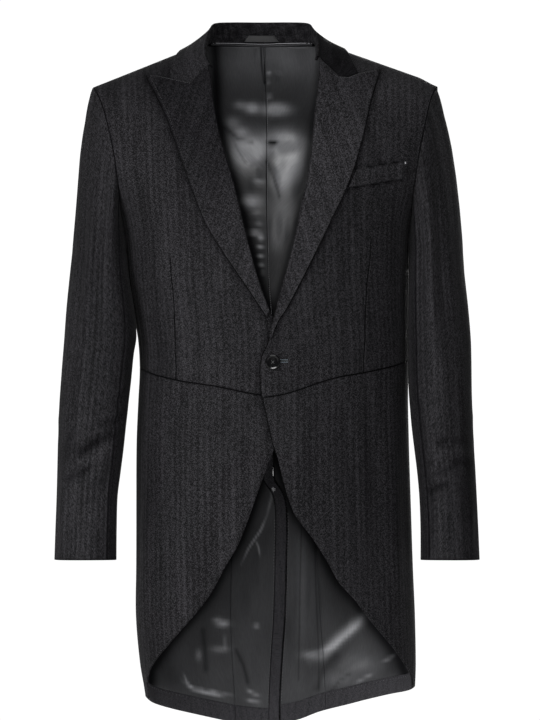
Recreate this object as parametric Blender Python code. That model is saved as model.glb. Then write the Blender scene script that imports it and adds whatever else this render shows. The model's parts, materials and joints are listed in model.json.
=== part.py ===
"""A morning coat: one button, peaked lapels, cutaway skirt and centre vent, filled out as if worn.

+X is the wearer's left, the front faces -Y and +Z is up. The origin is between the shoulders.
Sizes are in millimetres until a mesh is made. A point of the cloth is named by an angle round
the body, 0 at the centre front and 180 at the centre back, and by a level, 0 on the shoulder
line, 1 at the underarm and one more for each LEVEL_MM below it.
"""
import math

import bmesh
import bpy
from mathutils import Vector

METRE = 0.001
CLOTH = 2.0  # wall of the wool pieces
LINING = 1.0
INNER_HIGH = -CLOTH - 0.5
INNER_LOW = INNER_HIGH - LINING
SEAM = 0.3  # between two pieces that are sewn together
ROUND = 2.35  # exponent of the body's rings
UNDERARM = -235.0
LEVEL_MM = 200.0
RIDGE_Y = 6.0
NECK_HALF = 84.0
NECK_DEEP = 58.0
NECK_Z = 21.6
SLOPE_RIGHT = 0.39  # fall of the shoulder from the neck out
SLOPE_LEFT = 0.362
CLOSE_FRONT = 150.0  # height over which the front curves in to the shoulder
CLOSE_BACK = 135.0
NAPE_START = 0.45  # how upright the back begins under the collar
NAPE_HALF = 100.0
ARM_JOIN = 0.70  # level where the sidebody's seam meets the back of the armhole
SIDE_SEAM = 78.0
SETTLE = 60  # steps towards a point that lies on two lines at once, and how far each one goes
DAMP = 0.3
CLOSE_IN = 8  # steps towards the height of a point whose distance out depends on it

# Rings of the body: height, centre, half width, depth of the front and of the back, and how far
# behind the origin the ring is widest.
BODY = [
    (60, -7, 290, 110, 98, 0),
    (0, -3, 288, 118, 106, 0),
    (-40, -1, 282, 124, 111, 0),
    (-100, 0, 264, 132, 118, 0),
    (-135, 0, 249, 136, 119, 0),
    (-165, 0, 231, 138, 118, 0),
    (-192, 0, 213, 138, 116, 2),
    (-215, 0.5, 201.5, 137, 113, 4),
    (-235, 1, 196.5, 135, 110, 8),
    (-260, 1.75, 194.25, 132, 106, 14),
    (-300, 2.75, 192.25, 127, 99, 22),
    (-340, 5.75, 188.25, 122, 93, 26),
    (-381, 9.35, 184.15, 118, 88, 28),
    (-421, 10.4, 182.6, 116, 86, 28),
    (-460, 9.2, 183, 116, 90, 26),
    (-520, 8.7, 185.2, 119, 102, 20),
    (-593, 9.5, 187, 122, 114, 14),
    (-691, 10.9, 188.4, 123, 120, 8),
    (-756, 12.3, 189.8, 123, 121, 4),
    (-821, 15.7, 187.7, 122, 122, 4),
    (-856, 17.9, 184.1, 121, 122, 4),
    (-910, 20, 179, 120, 122, 4),
]
# Armhole: level, distance from the centre at the front and at the back.
ARMHOLE = [
    (0.0, 235, 235),
    (0.05, 230, 230),
    (0.1, 226, 226),
    (0.2, 220, 219),
    (0.35, 213, 211),
    (0.5, 207, 205),
    (0.7, 201, 200),
    (0.8, 198.5, 198),
    (0.9, 197, 196),
    (1.0, 193, 193),
]
# Bottom of the armhole, over the sidebody: angle and level.
ARM_BOTTOM = [(78, 1.0), (88, 1.03), (98, 1.03), (106, 0.97), (113, 0.86), (119.4, 0.70)]
# Seam between sidebody or skirt and the back: level and angle.
BACK_SEAM = [
    (0.70, 119.4),
    (0.8, 127),
    (0.9, 134),
    (1.0, 141),
    (1.3, 154),
    (1.6, 162),
    (1.93, 166.5),
    (2.6, 166),
    (4.4, 163),
]
# Waist seam and hem: angle, height on the wearer's right and on the left.
WAIST = [
    (-12, -457, -462),
    (0, -457, -457),
    (21, -444, -434),
    (39, -437, -425),
    (55, -430, -418),
    (78, -421, -410),
    (110, -416, -407),
    (180, -416, -407),
]
HEM = [
    (55, -862, -842),
    (69, -868, -847.5),
    (90, -866, -852),
    (109, -876, -859),
    (127, -884.5, -864.5),
    (142, -892, -872),
    (153, -898.5, -879.5),
    (166, -906.5, -889.5),
    (176, -910, -902),
    (190, -911, -911),
]
# Inner edge of each front from the neck to the waist seam, and of each skirt below it.
ROLL_RIGHT = [
    (-90, 22),
    (-89.5, 0),
    (-83, -19),
    (-72, -68),
    (-63, -107),
    (-43.5, -173),
    (-32.5, -218),
    (-23, -256),
    (-9.5, -303),
    (7, -347),
    (17, -385),
    (20, -420),
    (20, -470),
]
ROLL_LEFT = [
    (78, 24),
    (77, 0),
    (73, -19),
    (70, -45),
    (65, -75),
    (63, -95),
    (56, -157),
    (43, -218),
    (27.5, -284),
    (13, -338),
    (3, -384),
    (-3.8, -399),
    (-7, -408),
    (-8.3, -427),
    (-6.5, -452),
    (-5, -470),
]
SKIRT_RIGHT = [
    (21, -450),
    (18, -490),
    (10, -530),
    (-6, -571),
    (-36, -653),
    (-56, -688),
    (-76, -725),
    (-101, -757),
    (-134, -794),
    (-157, -824),
    (-161.5, -837),
    (-162.5, -849),
    (-160.5, -869),
    (-159, -880),
]
SKIRT_LEFT = [
    (-6.5, -450),
    (-1, -476),
    (4.5, -501),
    (12, -530),
    (36, -612),
    (65, -653),
    (82, -680),
    (99, -710),
    (120, -733),
    (137, -756),
    (159, -782),
    (185, -816),
    (195, -832),
    (198, -842),
    (199, -860),
]
# Lapels: gorge and top edge, then the outer edge down from the peak.
TOP_RIGHT = [
    (-78.2, -13.6),
    (-86.4, -19.6),
    (-101.9, -35.4),
    (-114.9, -32.4),
    (-128.5, -29.2),
    (-147.0, -24.8),
    (-162.5, -24.5),
]
TOP_LEFT = [
    (71.5, -1.5),
    (79.6, -10.3),
    (97.2, -27.2),
    (110.0, -27.5),
    (123.9, -22.3),
    (140.0, -18.6),
    (153.8, -15.8),
]
OUTER_RIGHT = [
    (-162.5, -24.5),
    (-137, -75),
    (-111, -147),
    (-84, -218),
    (-62, -256),
    (-41, -288),
    (-16.5, -324),
    (0.5, -350),
]
OUTER_LEFT = [
    (153.8, -15.8),
    (140.8, -57),
    (132.6, -95),
    (119.5, -143),
    (107, -177),
    (92, -208),
    (69, -257),
    (48, -299),
    (26.5, -339),
    (15.6, -355),
    (6.5, -378),
]
INNER_RIGHT = [
    (-78.2, -13.6),
    (-74.8, -30),
    (-70, -68),
    (-62.2, -107),
    (-42.8, -173),
    (-32, -218),
    (-22.4, -256),
    (-9.5, -303),
    (4.5, -343),
]
INNER_LEFT = [
    (71.5, -1.5),
    (71, -14),
    (69.5, -35),
    (64.6, -75),
    (63.2, -95),
    (55.9, -157),
    (42.8, -218),
    (27.3, -284),
    (12.6, -338),
    (3.2, -376),
]
# Collar, one half: fold (x, y, z), depth of the stand below it, outer edge in plan (x, y).
COLLAR = [
    (0, 60, 51, 29.5, 0, 84),
    (38, 53, 51, 28.5, 52, 75),
    (62, 38, 49.5, 27, 84, 51),
    (69, 23, 43.5, 21.5, 101, 30),
    (73, 6, 34.5, 12, 109, 8),
    (76, -16, 25, 8, 114, -12),
    (77, -38, 15.5, 8, 118, -30),
    (76.5, -58, 5.2, 7, 124, -51),
]
COLLAR_X = -6.8  # the collar sits a little to the wearer's right
LOOP_AT = (-1, 0, 1)
LOOP_LIFT = (1.5, 5.0, 1.5)
LOOP_ENDS = (0.95, 0.3)  # parts of the stand's height
LOOP_WALL = 0.9
COLLAR_WALL = 2.2
FALL_ROUND = 2.5  # how full the collar's fall is
COLLAR_LIFT = 1.3
COLLAR_GAP = 0.35
COLLAR_AIM = 25.0  # how far in front of the neck the collar's sections point back to
STAND_IN = 1.0  # from the fold in to the seam with the back
# Inner and outer face beside the fold: distance across and below it, and the fold's own rise.
FOLD_INSIDE = (1.9, 2.4)
FOLD_OUTSIDE = (2.3, 2.0)
FOLD_RISE = 0.6
FALL_PARTS = (0.3, 0.6)
FALL_CLEAR = 1.4
GORGE_AT = (0, 1, 2, 4)  # rows of the lapel's top where the collar meets it, and its lift there
GORGE_LIFT = (1.4, 1, 0.6, 0.4)
# The collar's end at the gorge: distance across and out of the cloth.
END_FOLD = (2.0, 1.8)
END_INSIDE = (4.4, 0.4)
END_SEAM = (0.6, 2.4)
# Sleeves: height, inner and outer distance from the centre on the right and the left side,
# front and back.
SLEEVE = [
    (-262, 193.8, 264, 197.3, 266, -72, 62),
    (-300, 189.2, 267.5, 194.8, 269.5, -77, 55),
    (-340, 182.3, 271, 193.2, 273.5, -79, 51),
    (-381, 179, 274, 192.4, 276.8, -78, 48),
    (-410, 181.5, 276.6, 192.4, 277.8, -77, 46.5),
    (-432, 183.5, 278.5, 192.6, 278.3, -75, 45),
    (-450, 185.5, 280, 193.2, 278.7, -75, 43.5),
    (-466, 187.4, 281.2, 194.3, 279.3, -75, 42.5),
    (-482, 189, 282, 195.6, 280, -76, 41),
    (-498, 190.8, 282.6, 197, 280.8, -76, 39),
    (-528, 194, 283.6, 200.6, 282.2, -77, 34),
    (-560, 198, 284.3, 204.5, 284, -79, 28),
    (-593, 202, 285, 207.4, 285.5, -80, 22),
    (-635, 203, 286.3, 208.8, 287.3, -84, 12),
    (-679, 203.3, 287.6, 208.8, 289, -88, 3),
]
SLEEVE_TURN = 13.0  # degrees that the sleeve's sections turn their front inwards
# Folds of the sleeve at the elbow: angle, height, rise per degree, half width, half length, depth.
CREASES = [
    (150, -462, 0.16, 9, 60, -3.0),
    (135, -488, 0.20, 8, 48, -2.2),
    (165, -436, 0.12, 8, 40, -1.8),
]
CREASE_ECHO = (0.45, 1.9)  # the swelling beside a fold: its height, and its distance in half widths
SLEEVE_ROUND = 2.2  # exponent of the sleeve's rings
CAP_OUT = (1.0, 0.7)  # how far the sleeve's head swells past the shoulder, right and left
CAP_LEAN = (0.45, 0.55)  # the lean out of the armhole, on average and more at the outer side
CAP_LEAVE = 0.35  # pull of the head's curve at the armhole and at the sleeve's first ring
CAP_ARRIVE = 0.7
CAP_FLARE = 0.05
CAP_ROWS = [0.0, 0.05, 0.15, 0.3, 0.48, 0.66, 0.83, 1.0]
HIND_SEAM = 248.0
FOREARM_SEAM = 118.0
LAPEL_ROWS = 17
LAPEL_CROWD = 1.3  # how much closer the lapel's rows lie at the peak
LAPEL_WALL = 2.2
LAPEL_LIFT = (1.2, 1.4, 1.0)  # over the front: in all, more at the roll, more at the gorge
LAPEL_TOP_ROWS = 8
WELT = (0.7, 2.3)
POCKET_LOW = [(110.5, -175.3), (182.9, -163.2)]
POCKET_TOP = [(121.5, -150.4), (185.6, -139.8)]
BUTTON_AT = (8.6, -410.7)
# Half section of the button: distance from its axis and height.
BUTTON = [
    (0, 0),
    (6.5, 0),
    (9.2, 0.9),
    (10.2, 2.0),
    (9.9, 3.2),
    (8.8, 3.9),
    (7.4, 3.7),
    (6.2, 2.7),
    (0, 2.4),
]
BUTTON_SIDES = 32
BUTTON_LIFT = 0.3
HOLE_RADIUS = 0.9
HOLE_OUT = 2.1
HOLE_SIDES = 12
CUTTER_LONG = 20.0
THREAD_LIFT = 3.1
THREAD_ARM = (2.9, 0.45, 0.8)  # half length, half width and thickness of the crossed thread
VENT_TOP = 2.70
# How far the tail's edge passes the centre back: level, right tail and left tail.
VENT = [
    (2.5, 0, 0),
    (2.6, 0, 0),
    (2.7, 0, 0),
    (2.75, 1.5, 0.5),
    (2.9, 10, 4),
    (3.1, 15.5, 8),
    (3.6, 11, 8),
    (3.9, 5, 8),
    (4.15, -1, 8),
    (4.4, -3.5, 8),
]
VENT_FACING = 14.0
VENT_Z = -700.0  # height where the distances in the vent's table are turned into angles
VENT_ROWS_FROM = 2.38  # the vent's facing begins at the first row below this
LINING_OFF = (0.3, 0.5, 2.0)  # from the centre: above the vent, from its facing, from its open edge
# Where the right front tucks in under the left one: distance across, lower and upper heights.
TUCK_ACROSS = (24, 62)
TUCK_LOW = (-620, -540)
TUCK_HIGH = (-335, -265)
LAP_ACROSS = (18, 50)  # the same for the right tail inside the left one, and levels over the vent
LAP_OVER = (0.6, 0.1)
LAP_DEEP = 3.4
SHOULDER_GAP = 0.4
HEM_GAP = 0.6
SKIRT_LINING_FROM = 4  # the skirt's column where its lining begins


class Curve:
    """A smooth line through a table's rows, straight on beyond its ends."""

    def __init__(self, xs, ys):
        pairs = sorted(zip(xs, ys))
        self.xs = [p[0] for p in pairs]
        self.ys = [p[1] for p in pairs]
        last = len(pairs) - 1
        self.slopes = []
        for i in range(last + 1):
            a = max(i - 1, 0)
            b = min(i + 1, last)
            self.slopes.append((self.ys[b] - self.ys[a]) / (self.xs[b] - self.xs[a]))

    def __call__(self, x):
        xs, ys = self.xs, self.ys
        if x <= xs[0]:
            return ys[0] + (x - xs[0]) * self.slopes[0]
        if x >= xs[-1]:
            return ys[-1] + (x - xs[-1]) * self.slopes[-1]
        i = 0
        while xs[i + 1] < x:
            i += 1
        span = xs[i + 1] - xs[i]
        t = (x - xs[i]) / span
        rise = ys[i + 1] - ys[i]
        bend_a = self.slopes[i] * span - rise
        bend_b = rise - self.slopes[i + 1] * span
        return ys[i] + rise * t + t * (1 - t) * ((1 - t) * bend_a + t * bend_b)


def column(rows, x, y):
    return Curve([r[x] for r in rows], [r[y] for r in rows])


CENTRE, HALF, FRONT, BACK, WIDEST = (column(BODY, 0, c) for c in (1, 2, 3, 4, 5))
ARM_FRONT, ARM_BACK = (column(ARMHOLE, 0, c) for c in (1, 2))
ARM_LOW = column(ARM_BOTTOM, 0, 1)
LAP_RIGHT, LAP_LEFT = (column(VENT, 0, c) for c in (1, 2))
BACK_LINE = column(BACK_SEAM, 0, 1)


def smooth(a, b, x):
    t = min(1.0, max(0.0, (x - a) / (b - a)))
    return t * t * (3 - 2 * t)


def mix(a, b, t):
    return a + (b - a) * t


def shoulder_z(side, x):
    slope = SLOPE_LEFT if side > 0 else SLOPE_RIGHT
    return NECK_Z - slope * max(abs(x) - NECK_HALF, 0)


def height(side, x, level):
    if level < 1:
        top = shoulder_z(side, x)
        return top - level * (top - UNDERARM)
    return UNDERARM - (level - 1) * LEVEL_MM


def level_at(side, x, z):
    if z > UNDERARM:
        top = shoulder_z(side, x)
        return (top - z) / (top - UNDERARM)
    return 1 + (UNDERARM - z) / LEVEL_MM


def angle_at(x, z):
    """The angle of a point of the front that is x from the body's own centre."""
    part = min(1.0, abs(x) / HALF(z)) ** (ROUND / 2)
    return math.copysign(math.degrees(math.asin(part)), x)


def arc(h):
    return math.sqrt(max(0.0, 1 - (1 - min(h, 1.0)) ** 2))


def body(side, angle, level):
    """A point of the cloth's outer face."""
    turn = math.radians(angle)
    across = abs(math.sin(turn)) ** (2 / ROUND)
    along = abs(math.cos(turn)) ** (2 / ROUND)
    z = height(side, 200, level)
    for _ in range(CLOSE_IN):
        x = HALF(z) * across
        z = height(side, x, level)
    behind = abs(angle) > 90
    drop = (shoulder_z(side, x) - z) / (CLOSE_BACK if behind else CLOSE_FRONT)
    ridge, begin, deep = RIDGE_Y, 0.0, -FRONT(z) * along
    if behind:
        ridge += NECK_DEEP * math.sqrt(max(0.0, 1 - (x / NECK_HALF) ** 2))
        begin = NAPE_START * max(0.0, 1 - (x / NAPE_HALF) ** 2)
        deep = BACK(z) * along
    deep += WIDEST(z) * (1 - along)
    part = 1.0
    if drop < 1:
        part = (arc(begin + (1 - begin) * drop) - arc(begin)) / (1 - arc(begin))
    if math.sin(turn) < 0:
        x = -x
    return Vector((CENTRE(z) + side * x, ridge * (1 - part) + deep * part, z))


def outward(side, angle, level):
    """The direction out of the cloth there."""
    step = 1e-5 if level < 1e-4 else 1e-3
    low = max(level - step, 0.0)
    round_it = body(side, angle + 0.2, level) - body(side, angle - 0.2, level)
    down = body(side, angle, level + step) - body(side, angle, low)
    return (round_it.cross(down) * -side).normalized()


def front_spot(side, x, z):
    """Angle and level of the point of the front that shows at x and z."""
    own = side * (x - CENTRE(z))
    return angle_at(own, z), level_at(side, own, z)


def edge_line(side, points):
    """The angle of an edge of the front by its level."""
    spots = [front_spot(side, x, z) for x, z in points]
    return Curve([s[1] for s in spots], [s[0] for s in spots])


def on_top(side, x, y):
    """The body's point over a place in plan near the neck, and the direction out of it."""
    behind = y > RIDGE_Y
    close = CLOSE_BACK if behind else CLOSE_FRONT
    z = shoulder_z(side, x)
    for _ in range(CLOSE_IN):
        part = min(1.0, abs(x) / HALF(z)) ** ROUND
        deep = (BACK(z) if behind else -FRONT(z)) * (1 - part) ** (1 / ROUND)
        ridge, begin = RIDGE_Y, 0.0
        if behind:
            ridge += NECK_DEEP * math.sqrt(max(0.0, 1 - (x / NECK_HALF) ** 2))
            begin = NAPE_START * max(0.0, 1 - (x / NAPE_HALF) ** 2)
        reach = min(1.0, max(0.0, (y - ridge) / (deep - ridge)))
        high = arc(begin) + (1 - arc(begin)) * reach
        drop = (1 - math.sqrt(1 - high * high) - begin) / (1 - begin)
        z = shoulder_z(side, x) - drop * close
    angle, level = angle_at(x, z), level_at(side, x, z)
    if behind:
        angle = 180 - angle
    return body(side, angle, level), outward(side, angle, level)


class Sheet:
    """Rows of points of a piece of cloth and the direction out of it at each."""

    def __init__(self, points, normals):
        self.points = points
        self.normals = normals

    def part(self, rows, cols):
        return Sheet(
            [[self.points[j][i] for i in cols] for j in rows],
            [[self.normals[j][i] for i in cols] for j in rows],
        )

    def moved(self, far):
        """The sheet moved out by far, a number or a function of the row and the column."""
        by = far if callable(far) else (lambda j, i: far)
        points = [
            [p + n * by(j, i) for i, (p, n) in enumerate(zip(row, out))]
            for j, (row, out) in enumerate(zip(self.points, self.normals))
        ]
        return Sheet(points, self.normals)

    def trimmed(self, edges, by=SEAM / 2):
        """The sheet with its top, bottom, first or last edge drawn in, for the seam's gap."""
        points = [[p.copy() for p in row] for row in self.points]
        last_row = len(points) - 1
        last_col = len(points[0]) - 1
        for edge in edges:
            upright = edge in ("first", "last")
            count = last_row if upright else last_col
            for k in range(count + 1):
                if edge == "top":
                    here, inner = (0, k), (1, k)
                elif edge == "bottom":
                    here, inner = (last_row, k), (last_row - 1, k)
                elif edge == "first":
                    here, inner = (k, 0), (k, 1)
                else:
                    here, inner = (k, last_col), (k, last_col - 1)
                a, b = max(k - 1, 0), min(k + 1, count)
                if upright:
                    run = self.points[b][here[1]] - self.points[a][here[1]]
                else:
                    run = self.points[here[0]][b] - self.points[here[0]][a]
                way = self.points[inner[0]][inner[1]] - self.points[here[0]][here[1]]
                run.normalize()
                way = way - run * way.dot(run)
                points[here[0]][here[1]] += way.normalized() * by
        return Sheet(points, self.normals)


def even(count):
    return [k / count for k in range(count + 1)]


def laid(side, rows, cols, inner, outer, level):
    """A sheet between two edge lines; level gives each row's level at an angle."""
    points, normals = [], []
    for row in rows:
        line, outs = [], []
        for part in cols:
            angle = 90.0
            for _ in range(SETTLE):
                here = level(angle, row)
                angle += DAMP * (mix(inner(here), outer(here), part) - angle)
            here = level(angle, row)
            line.append(body(side, angle, here))
            outs.append(outward(side, angle, here))
        points.append(line)
        normals.append(outs)
    return Sheet(points, normals)


def along(points, parts):
    """Points at parts of the length of a line of x and z, on a smooth curve through its rows."""
    far = [0.0]
    for a, b in zip(points, points[1:]):
        far.append(far[-1] + math.dist(a, b))
    across = Curve(far, [p[0] for p in points])
    up = Curve(far, [p[1] for p in points])
    return [(across(far[-1] * part), up(far[-1] * part)) for part in parts]


def patch(side, top, bottom, first, last):
    """A sheet on the front that fills four edges, given as lists of x and z."""
    rows, cols = len(first) - 1, len(top) - 1
    points, normals = [], []
    for j in range(rows + 1):
        w = j / rows
        line, outs = [], []
        for i in range(cols + 1):
            u = i / cols
            spot = []
            for c in (0, 1):
                ends = mix(mix(top[0][c], top[-1][c], u), mix(bottom[0][c], bottom[-1][c], u), w)
                spot.append(mix(top[i][c], bottom[i][c], w) + mix(first[j][c], last[j][c], u) - ends)
            angle, level = front_spot(side, *spot)
            line.append(body(side, angle, level))
            outs.append(outward(side, angle, level))
        points.append(line)
        normals.append(outs)
    return Sheet(points, normals)


def material(name, colour, rough, sheen=0.0):
    made = bpy.data.materials.new(name)
    made.use_nodes = True
    shader = made.node_tree.nodes["Principled BSDF"]
    shader.inputs["Base Color"].default_value = (*colour, 1.0)
    shader.inputs["Roughness"].default_value = rough
    shader.inputs["Sheen Weight"].default_value = sheen
    return made


def make(name, verts, faces, look):
    mesh = bpy.data.meshes.new(name)
    mesh.from_pydata([v * METRE for v in verts], [], faces)
    tidy = bmesh.new()
    tidy.from_mesh(mesh)
    bmesh.ops.recalc_face_normals(tidy, faces=tidy.faces)
    tidy.to_mesh(mesh)
    tidy.free()
    mesh.materials.append(material(name, *look))
    thing = bpy.data.objects.new(name, mesh)
    COAT.objects.link(thing)
    return thing


def wall(name, sheet, low, high, look):
    """A piece of cloth between two distances from its sheet.

    Solidify would lean the ends of each piece by its own last face, and pieces that meet at a
    bend would cross. Here both take the body's own direction, so the seam's gap stays even.
    """
    rows, cols = len(sheet.points), len(sheet.points[0])
    verts = [p for row in sheet.moved(high).points for p in row]
    verts += [p for row in sheet.moved(low).points for p in row]
    below = rows * cols
    faces = []
    for j in range(rows - 1):
        for i in range(cols - 1):
            a = j * cols + i
            for corner in ((a, a + 1, a + cols + 1), (a, a + cols + 1, a + cols)):
                faces.append(corner)
                faces.append(tuple(below + k for k in reversed(corner)))
    rim = list(range(cols))
    rim += [j * cols + cols - 1 for j in range(1, rows)]
    rim += [(rows - 1) * cols + i for i in range(cols - 2, -1, -1)]
    rim += [j * cols for j in range(rows - 2, 0, -1)]
    for a, b in zip(rim, rim[1:] + rim[:1]):
        faces.append((b, a, below + a, below + b))
    return make(name, verts, faces, look)


WOOL = ((0.012, 0.011, 0.014), 0.85, 0.3)
SATIN = ((0.045, 0.045, 0.05), 0.35)
HORN = ((0.008, 0.008, 0.009), 0.15)
TAPE = ((0.02, 0.02, 0.022), 0.5)
THREAD = ((0.015, 0.015, 0.017), 0.6)

UPPER = [1 - math.sin(math.radians(k * 90 / 9)) for k in range(9, -1, -1)]
BACK_UPPER = [1 - math.sin(math.radians(k * 90 / 7)) for k in range(7, -1, -1)]
LOWER = 8
FORE_COLS = 10
SIDE_PARTS = [0.0, 0.14, 0.35, 0.57, 0.79, 1.0]
BACK_COLS = 7
HEM_PART = 0.949  # the row where the hem's facing begins
TAIL = [HEM_PART * k / 11 for k in range(12)] + [1.0]


def tuck_right(sheet):
    """Draws the right front in where the left one laps over it."""

    def by(j, i):
        p = sheet.points[j][i]
        own = CENTRE(p.z) - p.x
        across = 1 - smooth(*TUCK_ACROSS, own)
        up = smooth(*TUCK_LOW, p.z) * (1 - smooth(*TUCK_HIGH, p.z))
        return -LAP_DEEP * across * up

    return sheet.moved(by)


def lines(side):
    """The edge lines, waist and hem of one half of the coat."""
    c = 2 if side > 0 else 1
    waist_z, hem_z = column(WAIST, 0, c), column(HEM, 0, c)
    roll = edge_line(side, ROLL_LEFT if side > 0 else ROLL_RIGHT)
    away = edge_line(side, SKIRT_LEFT if side > 0 else SKIRT_RIGHT)
    return waist_z, hem_z, roll, away


def arm_line(side, table, behind):
    def angle(level):
        x = table(min(level, 1.0))
        turn = angle_at(x, height(side, x, min(level, 1.0)))
        return 180 - turn if behind else turn

    return angle


def lap_in(sheet):
    """Draws the right tail in where it passes inside the left one at the vent."""

    def by(j, i):
        p = sheet.points[j][i]
        if p.y < 0:
            return 0.0
        across = 1 - smooth(*LAP_ACROSS, CENTRE(p.z) - p.x)
        over, under = LAP_OVER
        return -LAP_DEEP * across * smooth(VENT_TOP - over, VENT_TOP - under, level_at(1, 0, p.z))

    return sheet.moved(by)


def half(side, name):
    """The body pieces of one half; gives the armhole's points and directions."""
    waist_z, hem_z, roll, away = lines(side)

    def waist(angle):
        return level_at(side, 0, waist_z(min(angle, 180)))

    def hem(angle):
        return level_at(side, 0, hem_z(angle))

    arm_front, arm_back = arm_line(side, ARM_FRONT, False), arm_line(side, ARM_BACK, True)

    def fore_level(angle, row):
        return row if row <= 1 else mix(1, waist(angle), row - 1)

    def fore_outer(level):
        return arm_front(level) if level < 1 else SIDE_SEAM

    rows = UPPER + [1 + part for part in even(LOWER)[1:]]
    fore = laid(side, rows, even(FORE_COLS), roll, fore_outer, fore_level)

    def side_level(angle, row):
        return mix(ARM_LOW(min(angle, ARM_BOTTOM[-1][0])), waist(angle), row)

    flank = laid(side, even(LOWER), SIDE_PARTS, lambda v: SIDE_SEAM, BACK_LINE, side_level)

    def back_level(angle, row):
        if row <= 1:
            return ARM_JOIN * row
        if row <= 2:
            return mix(ARM_JOIN, waist(angle), row - 1)
        return mix(waist(angle), hem(angle), row - 2)

    def back_outer(level):
        return arm_back(level) if level < ARM_JOIN else BACK_LINE(level)

    lap = LAP_RIGHT if side < 0 else LAP_LEFT

    def centre(level):
        return 180 + angle_at(lap(level), VENT_Z)

    rows = BACK_UPPER + [1 + part for part in even(LOWER)[1:]] + [2 + part for part in TAIL[1:]]
    back = laid(side, rows, even(BACK_COLS), centre, back_outer, back_level)

    def skirt_level(angle, row):
        return mix(waist(angle), hem(angle), row)

    start = roll(waist(0))
    end = BACK_LINE(waist(170))
    seam = (SIDE_SEAM - start) / (end - start)
    cols = [seam * part for part in even(FORE_COLS)]
    cols += [mix(seam, 1, part) for part in SIDE_PARTS[1:]]
    skirt = laid(side, TAIL, cols, away, BACK_LINE, skirt_level)

    def lining_edge(level):
        above, beside, inside_lap = LINING_OFF
        below = smooth(VENT_TOP - 0.3, VENT_TOP, level)
        if side < 0:
            clear = VENT_FACING + beside - LAP_RIGHT(level)
        else:
            clear = LAP_RIGHT(level) + inside_lap
        return 180 - angle_at(above + below * clear, VENT_Z)

    inside = laid(side, rows, even(BACK_COLS), lining_edge, back_outer, back_level)
    if side < 0:
        fore, skirt = tuck_right(fore), tuck_right(skirt)
        back, inside = lap_in(back), lap_in(inside)

        def facing_edge(level):
            return 180 - angle_at(VENT_FACING - LAP_RIGHT(level), VENT_Z)

        vent_rows = [row for row in rows if row > VENT_ROWS_FROM]
        strip = lap_in(laid(side, vent_rows, even(2), centre, facing_edge, back_level))
        wall("vent_facing", strip.trimmed(["bottom"], HEM_GAP), INNER_LOW, INNER_HIGH, WOOL)

    cut = fore.trimmed(["bottom", "last"]).trimmed(["top"], SHOULDER_GAP)
    wall("forepart_" + name, cut, -CLOTH, 0, WOOL)
    cut = flank.trimmed(["top", "bottom", "first", "last"])
    wall("sidebody_" + name, cut, -CLOTH, 0, WOOL)
    cut = back.trimmed(["last", "first"]).trimmed(["top"], SHOULDER_GAP)
    wall("back_" + name, cut, -CLOTH, 0, WOOL)
    wall("skirt_" + name, skirt.trimmed(["top", "last"]), -CLOTH, 0, WOOL)
    linings(name, inside, skirt)
    hole = [(fore.points[j][-1], fore.normals[j][-1]) for j in range(len(UPPER) - 1)]
    hole += list(zip(flank.points[0], flank.normals[0]))
    hole += [(back.points[j][-1], back.normals[j][-1]) for j in range(len(BACK_UPPER) - 2, -1, -1)]
    return hole


def linings(name, inside, skirt):
    """Lining and facings of the hem, made from the points of the back and the skirt."""
    cols = range(len(inside.points[0]))
    last = len(inside.points) - 1
    lining = inside.part(range(last), cols).trimmed(["top", "bottom"], HEM_GAP)
    wall("lining_back_" + name, lining.trimmed(["last"]), INNER_LOW, INNER_HIGH, SATIN)
    hem = inside.part((last - 1, last), cols).trimmed(["bottom"], HEM_GAP)
    wall("hem_facing_" + name, hem.trimmed(["last", "top"]), INNER_LOW, INNER_HIGH, WOOL)
    last = len(skirt.points) - 1
    cols = range(SKIRT_LINING_FROM, len(skirt.points[0]))
    lining = skirt.part(range(1, last), cols).trimmed(["last", "bottom"])
    wall("lining_skirt_" + name, lining, INNER_LOW, INNER_HIGH, SATIN)
    hem = skirt.part((last - 1, last), cols).trimmed(["bottom"], HEM_GAP)
    wall("skirt_facing_" + name, hem.trimmed(["last", "top"]), INNER_LOW, INNER_HIGH, WOOL)


def ring(side, row):
    """Centre and half sizes of a section of the sleeve."""
    z, right_in, right_out, left_in, left_out, front, behind = row
    inner, outer = (left_in, left_out) if side > 0 else (right_in, right_out)
    middle = Vector((side * (inner + outer) / 2, (front + behind) / 2, z))
    wide, deep = (outer - inner) / 2, (behind - front) / 2
    turn = math.radians(SLEEVE_TURN)
    narrow = math.sqrt(wide**2 - (deep * math.sin(turn)) ** 2) / math.cos(turn)
    return middle, narrow, deep


def on_ring(side, row, angle):
    """A point of a sleeve's section, from the outer side round by the front."""
    middle, wide, deep = ring(side, row)
    turn = math.radians(angle)
    c, s = math.cos(turn), math.sin(turn)
    power = 2 / SLEEVE_ROUND
    out = wide * math.copysign(abs(c) ** power, c)
    ahead = deep * math.copysign(abs(s) ** power, s)
    tilt = math.radians(SLEEVE_TURN)
    x = side * (out * math.cos(tilt) - ahead * math.sin(tilt))
    y = -ahead * math.cos(tilt) - out * math.sin(tilt)
    return middle + Vector((x, y, 0))


def crease(angle, z):
    """How far the elbow's folds draw the sleeve in or out."""
    far = 0.0
    for at, high, rise, wide, long, depth in CREASES:
        off = z - high - rise * (angle - at)
        echo, beside = CREASE_ECHO
        dip = math.exp(-((off / wide) ** 2))
        dip -= echo * math.exp(-(((off - beside * wide) / wide) ** 2))
        far += depth * dip * math.exp(-(((angle - at) / long) ** 2))
    return far


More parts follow.
